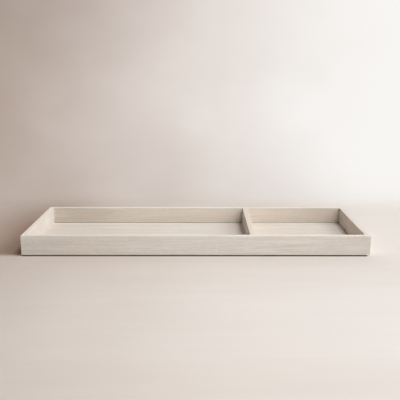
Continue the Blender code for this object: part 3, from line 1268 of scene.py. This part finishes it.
@dataclass
class Divider(Joinery):
    """The board between the two bays."""

    sawn: LogCut = LogCut(
        Grain.DEPTH,
        (0.05, 0.2, -0.05),
        (1.6, -1.5),
        brown=0.05,
        warmth=0.6,
        tint=(0.97, 0.96, 0.99),
        top_light_shade=(0.985, 0.985, 0.97),
    )

    def build(self, sockets: list[Piece]) -> None:
        """Makes the divider between the rails.

        Args:
            sockets: The cutters of its sockets, which are used up.
        """
        low, high = corners("divider")
        high.y = corners("back_rail")[0].y - self.joint_line
        low.y = -high.y
        low.z = self.seat
        board = block("divider_board", low, high)
        with at_the_bench(board):
            self.ease(board, lambda edge: self._is_upper_arris(edge, high.z), self.edge_radius)
        combine(board, sockets)
        smooth(board)
        fit(board, "oak", [self.finish.material("divider_oak", low, high, self.sawn)], "divider")

    @staticmethod
    def _is_upper_arris(edge: bmesh.types.BMEdge, top: float) -> bool:
        """Whether an edge runs along the divider's top."""
        first, second = (vertex.co for vertex in edge.verts)
        return near(first.z, top) and near(second.z, top) and not near(first.y, second.y)


@dataclass
class BasePanel(Joinery):
    """The thin veneered panel that lies in the rabbet."""

    edge_radius: float = 0.25 * MM
    edge_segments: int = 2
    sawn: LogCut = LogCut(
        Grain.WIDTH,
        (0.2, 0.01, -0.11),
        (0.35, 0.5),
        warmth=0.45,
        tint=(0.983, 1.009, 1.055),
        shade_fades=(
            Fade(-0.12, 0.08, 0.1),
            Fade(-0.35, -0.62, 0.08),
            Fade(-0.52, -0.64, 0.18),
            Fade(0.4, 0.6, 0.1),
            Fade(0.52, 0.64, 0.16),
        ),
    )

    def build(self, holes: list[Piece]) -> None:
        """Makes the panel.

        Args:
            holes: The cutters of its screw holes, which are used up.
        """
        low, high = corners("base_panel")
        panel = block("base_panel_ply", low, high)
        with at_the_bench(panel):
            self.ease(panel, lambda edge: True, self.edge_radius)
        combine(panel, holes)
        smooth(panel)
        finish = self.finish.material("veneered_ply", low, high, self.sawn)
        fit(panel, "oak_veneer", [finish], "base_panel")


@dataclass
class Hardware:
    """Turned pieces, each size made once, upwards from its mouth, and copied to its places."""

    rows: ClassVar[dict[str, list[str]]]
    slot: ClassVar[str]
    ending: ClassVar[str]
    sides: ClassVar[int]
    tilt: ClassVar[float] = 0.0
    spin: ClassVar[float] = 0.0

    def pattern(self, length: float) -> Piece:
        """Makes one piece of this length."""
        raise NotImplementedError

    def hole(self, length: float) -> Outline:
        """Gives the outline of the hole for a piece of this length, where it lies in one."""
        raise NotImplementedError

    def finishes(self) -> list[Material]:
        """Makes the finish, or the finishes of its faces by number."""
        raise NotImplementedError

    def nodes(self, *rows: str) -> list[str]:
        """The nodes in these rows, or in all of them."""
        return [node for row in rows or self.rows for node in self.rows[row]]

    def lie(self, node: str) -> tuple[Matrix, float]:
        """Works out how a piece lies in the tray.

        Args:
            node: The piece's node.

        Returns:
            Its place, for a piece that runs up from its mouth, and its length.
        """
        low, high = corners(node)
        turned = Matrix.Rotation(math.radians(self.tilt), 4, "X")
        way = turned.to_3x3() @ UP
        length = abs((high - low).dot(way))
        return Matrix.Translation((low + high) / 2 - way * length / 2) @ turned, length

    def holes(self, *rows: str) -> list[Piece]:
        """Makes the cutters of the pieces' holes.

        Args:
            rows: The rows of pieces, or nothing for all of them.

        Returns:
            The cutters.
        """
        cutters = []
        for node in self.nodes(*rows):
            place, length = self.lie(node)
            cutter = turn(f"{node}_hole", self.hole(length), self.sides)
            cutter.data.transform(place)
            cutters.append(cutter)
        return cutters

    def build(self) -> None:
        """Makes a pattern of each length and copies it to its places."""
        finishes = self.finishes()
        patterns: dict[float, Piece] = {}
        for number, node in enumerate(self.nodes()):
            place, length = self.lie(node)
            size = round(length / MM, 1)
            if size not in patterns:
                patterns[size] = self.pattern(length)
            spun = Matrix.Rotation(math.radians(number * self.spin), 4, "Z")
            piece = copy_of(patterns[size], f"{node}_{self.ending}", place @ spun)
            fit(piece, self.slot, finishes, node)
        for pattern in patterns.values():
            discard(pattern)


@dataclass
class Screws(Hardware):
    """Countersunk wood screws with a six-lobed drive and a coarse thread."""

    rows = {
        row: [f"{row}_screw_{number + 1}" for number in range(count)]
        for row, count in {
            "front_base": 6,
            "back_base": 6,
            "left_base": 3,
            "right_base": 3,
            "divider": 3,
        }.items()
    }
    slot = "zinc_steel"
    ending = "threaded"
    sides = 24
    spin = 137.5

    metal: Metal
    head_radius: float = 3.5 * MM
    head_rim: float = 0.3 * MM
    head_height: float = 2.4 * MM
    neck: float = 1.6 * MM
    neck_flare: float = 0.25 * MM
    core_radius: float = 1.2 * MM
    crest_radius: float = 1.75 * MM
    pitch: float = 1.8 * MM
    bite: float = 0.05 * MM
    tip: float = 3.0 * MM
    point_share: float = 0.08
    drive_lobes: int = 6
    drive_radius: float = 1.65 * MM
    drive_root_share: float = 0.72
    drive_depth: float = 1.3 * MM
    play: float = 0.12 * MM
    overrun: float = 1.2 * MM
    sharp_angle: float = 35.0

    def finishes(self) -> list[Material]:
        """Makes the zinc plating."""
        return [self.metal.material("bright_zinc")]

    def hole(self, length: float) -> Outline:
        """Gives the outline of a screw's countersink and pilot hole.

        Args:
            length: The screw's length.

        Returns:
            The outline, which runs past the flat of the head.
        """
        head = self.head_radius + self.play
        shank = self.crest_radius + self.play
        return [
            (head, -self.overrun),
            (head, self.head_rim),
            (shank, self.head_height + self.play),
            (shank, length - self.tip),
            (0.0, length + self.play),
        ]

    def pattern(self, length: float) -> Piece:
        """Makes one screw that points up from the flat of its head.

        Args:
            length: From the flat of the head to the tip.

        Returns:
            The screw.
        """
        outline = [
            (self.head_radius, 0.0),
            (self.head_radius, self.head_rim),
            (self.core_radius + self.neck_flare, self.head_height),
            (self.core_radius, self.head_height + self.neck),
            (self.core_radius, length - self.tip),
            (0.0, length),
        ]
        screw = turn("screw", outline, self.sides)
        worm = Thread(self.core_radius - self.bite, self.crest_radius, self.pitch).cut(
            "worm", self.head_height + self.neck / 2, length - self.tip / 2
        )
        for vertex in worm.data.vertices:
            past = max((vertex.co.z - length) / self.tip + 1.0, 0.0)
            vertex.co.xy *= 1.0 - (1.0 - self.point_share) * past
        combine(screw, [worm], "UNION")
        outline = [(self.drive_radius, -self.drive_depth), (self.drive_radius, self.drive_depth)]
        drive = turn("drive", outline, self.sides)
        lobed(drive, self.drive_lobes, self.drive_root_share)
        combine(screw, [drive])
        smooth(screw, self.sharp_angle)
        return screw


@dataclass
class Inserts(Hardware):
    """Threaded brass inserts with a hexagonal drive, in the back rail."""

    rows = {
        pair: [f"bracket_insert_{pair}_{level}" for level in ("lower", "upper")]
        for pair in ("left", "right")
    }
    slot = "brass"
    ending = "threaded"
    sides = 32
    tilt = 90.0

    metal: Metal
    radius: float = 4.5 * MM
    root_radius: float = 3.7 * MM
    pitch: float = 2.5 * MM
    bite: float = 0.05 * MM
    collar: float = 1.2 * MM
    bore: Thread = Thread(2.5 * MM, 3.0 * MM, 1.0 * MM)
    overrun: float = 1.0 * MM
    hex_sides: int = 6
    hex_radius: float = 3.5 * MM
    hex_depth: float = 3.0 * MM
    play: float = 0.15 * MM
    chamfer: float = 0.5 * MM
    sharp_angle: float = 35.0

    def finishes(self) -> list[Material]:
        """Makes the turned brass."""
        return [self.metal.material("turned_brass")]

    def hole(self, length: float) -> Outline:
        """Gives the outline of an insert's hole, with a chamfered mouth.

        Args:
            length: The insert's length.

        Returns:
            The outline.
        """
        radius = self.radius + self.play
        return [
            (radius + self.chamfer, -self.chamfer),
            (radius, self.chamfer),
            (radius, length + self.play),
        ]

    def pattern(self, length: float) -> Piece:
        """Makes one insert that runs up from its mouth.

        Args:
            length: Its length.

        Returns:
            The insert.
        """
        outline = [
            (self.radius - self.chamfer, 0.0),
            (self.radius, self.chamfer),
            (self.radius, self.collar),
            (self.root_radius, self.collar + self.chamfer),
            (self.root_radius, length - self.chamfer),
            (self.root_radius - self.chamfer, length),
        ]
        insert = turn("insert", outline, self.sides)
        knife = Thread(self.root_radius - self.bite, self.radius, self.pitch).cut(
            "knife", self.collar + self.chamfer / 2, length - self.chamfer
        )
        combine(insert, [knife], "UNION")
        combine(insert, [self.bore.cut("bore", -self.overrun, length + self.overrun)])
        outline = [(self.hex_radius, -self.overrun), (self.hex_radius, self.hex_depth)]
        combine(insert, [turn("hexagon", outline, self.hex_sides)])
        smooth(insert, self.sharp_angle)
        return insert


@dataclass
class Dowels(Hardware):
    """Fluted beech dowels at the divider's ends."""

    rows = {end: [f"{end}_{level}_dowel" for level in ("lower", "upper")] for end in ("front", "back")}
    slot = "beech"
    ending = "fluted"
    sides = 32
    tilt = -90.0

    beech: Beech
    flutes: int = 16
    flute_share: float = 0.93
    chamfer: float = 1.0 * MM
    play: float = 0.12 * MM

    @cached_property
    def radius(self) -> float:
        """The dowels' radius in the frame."""
        low, high = corners(self.nodes()[0])
        return (high.z - low.z) / 2

    def finishes(self) -> list[Material]:
        """Makes the raw beech."""
        return [self.beech.material("beech_dowel")]

    def hole(self, length: float) -> Outline:
        """Gives the outline of a hole for a dowel of this length."""
        radius = self.radius + self.play
        return [(radius, -self.play), (radius, length + self.play)]

    def pattern(self, length: float) -> Piece:
        """Makes one dowel.

        Args:
            length: Its length.

        Returns:
            The dowel.
        """
        outline = [
            (self.radius - self.chamfer, 0.0),
            (self.radius, self.chamfer),
            (self.radius, length - self.chamfer),
            (self.radius - self.chamfer, length),
        ]
        dowel = turn("dowel", outline, 4 * self.flutes)
        lobed(dowel, self.flutes, self.flute_share)
        smooth(dowel)
        return dowel


@dataclass
class Bumpers(Hardware):
    """Turned rubber bumpers, each on an adhesive disc under the panel."""

    rows = {
        "front": [f"bumper_front_{place}" for place in ("left", "long_bay", "divider", "right")],
        "back": [f"bumper_back_{place}" for place in ("left", "long_bay", "divider", "right")],
        "middle": ["bumper_long_bay_centre", "bumper_short_bay_centre"],
    }
    slot = "rubber"
    ending = "turned"
    sides = 48

    rubber: Soft
    foam: Soft
    radius: float = 9.0 * MM
    foot_radius: float = 8.2 * MM
    round_radius: float = 0.6 * MM
    round_steps: int = 4
    dish_radius: float = 5.2 * MM
    dish_depth: float = 0.4 * MM
    disc_radius: float = 8.4 * MM
    disc_play: float = 0.02 * MM
    sharp_angle: float = 35.0

    def finishes(self) -> list[Material]:
        """Makes the rubber and the disc's foam."""
        return [self.rubber.material("grey_rubber"), self.foam.material("adhesive_foam")]

    def pattern(self, length: float) -> Piece:
        """Makes one bumper on its disc.

        Args:
            length: The rubber's height.

        Returns:
            The bumper, whose second material is the disc's.
        """
        outline = [(self.dish_radius, self.dish_depth), (self.dish_radius + self.dish_depth, 0.0)]
        for step in range(self.round_steps + 1):
            angle = math.radians(90) * step / self.round_steps
            inward = self.round_radius * (1 - math.sin(angle))
            rise = self.round_radius * (1 - math.cos(angle))
            outline.append((self.foot_radius - inward, rise))
        outline.append((self.radius, length - self.round_radius / 2))
        outline.append((self.radius - self.round_radius / 2, length))
        outline.append((self.disc_radius, length))
        bumper = turn("bumper", outline, self.sides)
        seat = corners("base_panel")[0].z - corners(self.nodes()[0])[0].z
        with at_the_bench(bumper):
            mark(bumper, Part.FACES, lambda face: self._is_disc(face, length))
            pull(0.0, 0.0, seat - length - self.disc_play)
        for _ in range(2):
            bumper.data.materials.append(None)
        for face in bumper.data.polygons:
            face.material_index = int(face.center.z > length + NEAR)
        smooth(bumper, self.sharp_angle)
        return bumper

    @staticmethod
    def _is_disc(face: bmesh.types.BMFace, top: float) -> bool:
        """Whether a face is the round one on the rubber's top."""
        return near(face.calc_center_median().z, top) and len(face.verts) > 4


@dataclass
class Tongues:
    """Loose beech tongues in the mitres, which keep the frame's own shape."""

    beech: Beech
    play: float = 0.12 * MM

    def holes(self, *mitres: str) -> list[Piece]:
        """Makes the cutter of each tongue's mortise.

        Args:
            mitres: The mitres, such as front_left.

        Returns:
            The cutters.
        """
        cutters = []
        for name in mitres:
            cutter = copy_of(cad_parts[f"{name}_tongue"], f"{name}_mortise", Matrix())
            cutter.parent = None
            cutter.matrix_world = Matrix()
            with at_the_bench(cutter):
                close_up()
                bpy.ops.transform.shrink_fatten(value=self.play, use_even_offset=True)
            cutters.append(cutter)
        return cutters

    def build(self) -> None:
        """Gives the tongues of the frame their finish."""
        finish = self.beech.material("beech_tongue")
        for name in ("front_left", "front_right", "back_left", "back_right"):
            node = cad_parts[f"{name}_tongue"]
            node.data.materials.clear()
            node.data.materials.append(finish)
            log.info("%s_tongue: finished", name)


@dataclass(frozen=True)
class Patch:
    """A soft-edged block of painted shade or painted light on the studio, darker or paler.

    On each axis it begins, is whole, is still whole and ends at the four places of its span. A span
    may come from before the studio's edge, or run on and on past it.
    """

    tone: Colour
    strength: float = 1.0
    x: Span | None = None
    y: Span | None = None
    z: Span | None = None

    def mask(self, sketch: NodeSketch, where: Value) -> Value:
        """Marks the patch.

        Args:
            sketch: The material's sketch.
            where: The place in the studio.

        Returns:
            The mask, which is the patch's strength where it is whole.
        """
        share: object = self.strength
        for value, span in zip(sketch.axes(where), (self.x, self.y, self.z)):
            if span:
                share = sketch.steps(value, span[0], span[1]) * share
                share = sketch.steps(value, span[3], span[2]) * share
        return share


@dataclass(frozen=True)
class Plaster:
    """The studio's limewashed plaster, in shade towards the left."""

    shade: Colour = (0.415, 0.33, 0.28)
    middle: Colour = (0.755, 0.685, 0.64)
    pale: Colour = (0.94, 0.92, 0.90)
    haze: Colour = (0.80, 0.75, 0.71)
    floor_shade: Colour = (0.56, 0.49, 0.44)
    floor_pale: Colour = (0.735, 0.678, 0.629)
    floor_light: Colour = (0.72, 0.686, 0.652)
    contact: Colour = (0.125, 0.095, 0.072)
    shadow: Colour = (0.55, 0.43, 0.37)
    clouds: Mottle = Mottle((1.5, 1.5, 1.9), 3.0)
    cloud_drift: float = 0.7
    wall_shade: Range = (-1.5, 0.25)
    floor_shade_reach: Range = (-1.2, 0.3)
    light_reach: Range = (-0.2, 1.0)
    trowel: Mottle = Mottle((2.2, 22.0, 22.0), 3.0)
    trowel_strength: float = 0.12
    entry: float = 9 * MM
    spill: float = 6.5 * MM
    spill_taper: float = 8 * MM
    contact_blur: float = 3 * MM
    lee_shift: Span = (-0.45, 0.0, -0.1, 0.45)
    lee_depth: Span = (-0.02, 0.03, -0.1, 0.9)
    foot_begin: float = -0.1
    foot_whole: float = -0.2
    foot_end: Range = (-0.05, 0.15)
    foot_depth: Span = (-0.2, 0.0, -0.03, 0.08)
    foot_strength: float = 0.2
    # Painted light and shade: a paler pool on the floor before the tray, shade behind it, shade high on
    # the left of the wall and light lower down there.
    painted_light_and_shade: tuple[Patch, ...] = (
        Patch((1.05, 1.065, 1.08), x=(-0.7, -0.25, *ON_AND_ON), y=(-1.2, -1.0, -0.72, -0.42)),
        Patch(
            (0.89, 0.88, 0.87),
            x=(-0.5, -0.15, 0.35, 0.9),
            y=(0.25, 0.6, *ON_AND_ON),
            z=(*FROM_BEFORE, 0.02, 0.4),
        ),
        Patch((0.80, 0.78, 0.78), x=(*FROM_BEFORE, -0.9, 0.0), z=(0.62, 1.05, *ON_AND_ON)),
        Patch(
            (1.10, 1.12, 1.14),
            x=(*FROM_BEFORE, -0.75, -0.3),
            y=(0.6, 0.9, *ON_AND_ON),
            z=(*FROM_BEFORE, 0.35, 0.7),
        ),
    )
    far_share: float = 0.6
    glow: Range = (0.45, 1.0)
    haze_reach: Range = (2.1, 5.5)
    roughness: float = 0.9
    sheen_level: float = 0.1

    def _under(self, sketch: NodeSketch, across: Value, along: Value) -> Value:
        """Marks the floor right under the tray, where little light gets in.

        Args:
            sketch: The material's sketch.
            across: The place along the tray's width.
            along: The place along the tray's depth.

        Returns:
            The mask.
        """
        side, back = corners("right_end")[1].x, corners("back_rail")[1].y
        in_width = sketch.math("MINIMUM", across + side, side - self.entry - across)
        spill = sketch.steps(in_width, 0.0, self.spill_taper) * self.spill
        in_depth = spill + back - sketch.math("ABSOLUTE", along)
        inside = sketch.math("MINIMUM", in_width, in_depth)
        return sketch.steps(inside, -self.contact_blur, self.contact_blur)

    def _near_tray(self) -> tuple[Patch, Patch]:
        """Lays out the lee of the tray's left end and the shade at its front.

        Returns:
            The two patches.
        """
        side, back = corners("right_end")[1].x, corners("back_rail")[1].y
        lee_x = tuple(shift - side for shift in self.lee_shift)
        begin, whole, still, end = self.lee_depth
        lee_y = (begin - back, whole - back, still + back, end + back)
        foot_x = (self.foot_begin - side, self.foot_whole, *(shift + side for shift in self.foot_end))
        foot_y = tuple(depth - back for depth in self.foot_depth)
        return (
            Patch(self.shadow, x=lee_x, y=lee_y),
            Patch(self.shadow, self.foot_strength, x=foot_x, y=foot_y),
        )

    def material(self, name: str, covered_from: float) -> Material:
        """Makes the finish of the floor and of the wall behind it.

        Near the tray it is lit by the lamps, and the camera sees the far part in its own colour. It
        lets the lamp below the floor through.

        Args:
            name: The material's name.
            covered_from: The depth past which something else covers it, and it takes no light.

        Returns:
            The material.
        """
        material, sketch, shader = new_material(name)
        where = sketch.place()
        across, along, _ = sketch.axes(where)
        drifting = (self.clouds.noise(sketch, where) - 0.5) * self.cloud_drift + across
        lighter = sketch.steps(drifting, *self.light_reach)
        far = sketch.blend(sketch.steps(drifting, *self.wall_shade), self.shade, self.middle)
        far = sketch.blend(lighter, far, self.pale)
        shaded = sketch.steps(drifting, *self.floor_shade_reach)
        lit = sketch.blend(shaded, self.floor_shade, self.floor_pale)
        lit = sketch.blend(lighter, lit, self.floor_light)
        trowelled = self.trowel.noise(sketch, where) * self.trowel_strength
        lit = sketch.blend(trowelled, lit, self.shadow, "MULTIPLY")
        # Lays on the painted shadow and shade near the tray, and the painted light and shade patches.
        for patch in (*self._near_tray(), *self.painted_light_and_shade):
            share = patch.mask(sketch, where)
            lit = sketch.blend(share, lit, patch.tone, "MULTIPLY")
            far = sketch.blend(share * self.far_share, far, patch.tone, "MULTIPLY")
        distance = sketch.math("SQRT", across * across + along * along)
        haze_start, haze_end = self.haze_reach
        far = sketch.blend(sketch.steps(distance, haze_start, haze_end), far, self.haze)
        lit = sketch.blend(self._under(sketch, across, along), lit, self.contact)
        inputs = {
            "Base Color": lit,
            "Roughness": self.roughness,
            "Specular IOR Level": self.sheen_level,
        }
        sketch.feed(shader, inputs)
        rays = {socket.name: Value(sketch, socket) for socket in sketch.add("LightPath").outputs}
        hazy = sketch.steps(distance, haze_start, (haze_start + haze_end) / 2)
        glowing = sketch.math("MAXIMUM", sketch.steps(along, *self.glow), hazy)
        covered = sketch.math("GREATER_THAN", along, covered_from)
        share = rays["Is Camera Ray"] * sketch.math("MAXIMUM", glowing, covered)
        glow = sketch.get("Emission", {"Color": far, "Strength": 1.0})
        mixed = sketch.get("MixShader", {0: share, 1: Value(sketch, shader.outputs[0]), 2: glow})
        behind = sketch.get("NewGeometry", output="Backfacing")
        open_back = rays["Is Camera Ray"] * behind + rays["Is Shadow Ray"]
        clear = sketch.get("BsdfTransparent")
        whole = sketch.get("MixShader", {0: open_back, 1: mixed, 2: clear})
        sketch.feed(material.node_tree.nodes["Material Output"], {"Surface": whole})
        return material


@dataclass(frozen=True)
class Softbox:
    """A square soft light that faces the tray."""

    name: str
    bearing: float
    elevation: float
    distance: float
    size: float
    strength: float

    def hang(self) -> None:
        """Hangs the light. Its strength is what a white card that faces it would show."""
        data = bpy.data.lights.new(self.name, "AREA")
        data.size = self.size
        data.energy = self.strength * (math.pi * self.distance) ** 2
        lamp = bpy.data.objects.new(self.name, data)
        up, round_ = math.radians(self.elevation), math.radians(self.bearing)
        way = Vector((math.cos(round_) * math.cos(up), -math.sin(round_) * math.cos(up), math.sin(up)))
        lamp.location = way * self.distance
        lamp.rotation_euler = (-way).to_track_quat("-Z", "Y").to_euler()
        bpy.context.scene.collection.objects.link(lamp)
        log.info("%s: %.0f W", self.name, data.energy)


@dataclass
class Studio:
    """A plaster floor and wall, soft light from the right, and the camera."""

    plaster: Plaster = Plaster()
    wall_distance: float = 1.1
    cove_radius: float = 0.4
    cove_steps: int = 24
    half_width: float = 6.0
    wall_height: float = 4.0
    wall_lift: float = 0.5 * MM
    softboxes: tuple[Softbox, ...] = (
        Softbox("side_light", 22.0, 36.0, 10.0, 4.0, 0.46),
        Softbox("front_light", 70.0, 37.0, 6.0, 2.0, 0.28),
        Softbox("top_light", 15.0, 70.0, 9.0, 2.8, 0.415),
        Softbox("under_light", 0.0, -90.0, 2.0, 0.3, 0.7),
    )
    air_strength: float = 0.06
    air: Colour = (1.0, 1.0, 1.0)
    backdrop: Colour = (0.80, 0.75, 0.71)
    camera_place: Place = (0.0205, -2.4861, 0.7137)
    camera_pitch: float = -12.479
    camera_yaw: float = 0.104
    camera_lens: float = 55.82
    camera_sensor: float = 36.0

    def build(self) -> None:
        """Makes the floor, the wall, the lights and the camera."""
        cove_start = self.wall_distance - self.cove_radius
        floor = sheet("studio_floor", 2 * self.half_width)
        self._plaster_over(floor, "plaster_floor", cove_start)
        self._plaster_over(self._wall(cove_start), "plaster_wall", self.half_width)
        for softbox in self.softboxes:
            softbox.hang()
        self._air()
        self._camera()
        bpy.context.scene.view_settings.view_transform = "Standard"

    def _plaster_over(self, surface: Piece, name: str, covered_from: float) -> None:
        """Gives the floor or the wall its finish."""
        surface.data.materials.append(self.plaster.material(name, covered_from))

    def _wall(self, start: float) -> Piece:
        """Raises the wall from the floor in a cove.

        Args:
            start: The depth at which the cove starts.

        Returns:
            The wall.
        """
        wall = sheet("studio_wall", 2 * self.half_width)
        with at_the_bench(wall):
            bpy.ops.transform.translate(value=(0.0, start + self.half_width, self.wall_lift))
            mark(wall, Part.EDGES, lambda edge: all(vertex.co.y > start + NEAR for vertex in edge.verts))
            bpy.ops.mesh.delete(type="VERT")
            bpy.ops.mesh.select_all(action="SELECT")
            bpy.ops.mesh.spin(
                steps=self.cove_steps,
                angle=math.radians(90),
                center=(0.0, start, self.cove_radius),
                axis=(-1.0, 0.0, 0.0),
            )
            pull(0.0, 0.0, self.wall_height - self.cove_radius)
            bpy.ops.mesh.select_all(action="SELECT")
            bpy.ops.mesh.normals_make_consistent(inside=False)
        if sum(face.area * face.normal.y for face in wall.data.polygons) > 0.0:
            wall.data.flip_normals()
        lay_out(wall)
        bpy.ops.object.shade_smooth()
        return wall

    def _air(self) -> None:
        """Lights the studio evenly and shows a pale backdrop beyond the floor."""
        world = bpy.data.worlds.new("studio_air")
        world.use_nodes = True
        sketch = NodeSketch(world.node_tree)
        light = world.node_tree.nodes["Background"]
        sketch.feed(light, {"Color": (*self.air, 1.0), "Strength": self.air_strength})
        shown = sketch.get("Background", {"Color": (*self.backdrop, 1.0), "Strength": 1.0})
        rays = {socket.name: Value(sketch, socket) for socket in sketch.add("LightPath").outputs}
        bounced = sketch.math("MAXIMUM", rays["Is Glossy Ray"], rays["Is Transmission Ray"])
        seen = sketch.math("MAXIMUM", rays["Is Camera Ray"], bounced)
        mixed = sketch.get("MixShader", {0: seen, 1: Value(sketch, light.outputs[0]), 2: shown})
        sketch.feed(world.node_tree.nodes["World Output"], {"Surface": mixed})
        bpy.context.scene.world = world

    def _camera(self) -> None:
        """Sets the camera where the photograph was taken from."""
        data = bpy.data.cameras.new("camera")
        data.lens = self.camera_lens
        data.sensor_width = self.camera_sensor
        camera = bpy.data.objects.new("camera", data)
        camera.location = self.camera_place
        pitch = math.radians(90.0 + self.camera_pitch)
        camera.rotation_euler = (pitch, 0.0, math.radians(self.camera_yaw))
        bpy.context.scene.collection.objects.link(camera)
        bpy.context.scene.camera = camera


def main() -> None:
    """Builds the tray's pieces in order and sets up the studio."""
    logging.basicConfig(level=logging.INFO, format="%(message)s")
    effects = SharedEffects()
    oak = BleachedOak(effects)
    beech = Beech(effects)
    screws = Screws(Metal(effects, (0.66, 0.67, 0.69), (0.56, 0.58, 0.60), 0.3))
    inserts = Inserts(Metal(effects, (0.78, 0.58, 0.28), (0.62, 0.44, 0.20), 0.32))
    rubber = Soft(effects, (0.10, 0.10, 0.10), (0.19, 0.19, 0.185), 0.75, 0.04 * MM)
    foam = Soft(effects, (0.78, 0.77, 0.74), (0.66, 0.65, 0.62), 0.85, 0.03 * MM)
    dowels = Dowels(beech)
    tongues = Tongues(beech)
    sockets = {
        Side.FRONT: [
            *tongues.holes("front_left", "front_right"),
            *dowels.holes("front"),
            *screws.holes("front_base"),
        ],
        Side.BACK: [
            *tongues.holes("back_left", "back_right"),
            *dowels.holes("back"),
            *screws.holes("back_base"),
            *inserts.holes(),
        ],
        Side.LEFT: [*tongues.holes("front_left", "back_left"), *screws.holes("left_base")],
        Side.RIGHT: [*tongues.holes("front_right", "back_right"), *screws.holes("right_base")],
    }
    OuterFrame(oak).build(sockets)
    Divider(oak).build([*dowels.holes(), *screws.holes("divider")])
    BasePanel(VeneeredPly(effects)).build(screws.holes())
    for sub_assembly in (screws, inserts, dowels, tongues, Bumpers(rubber, foam), Studio()):
        sub_assembly.build()


if __name__ == "__main__":
    main()
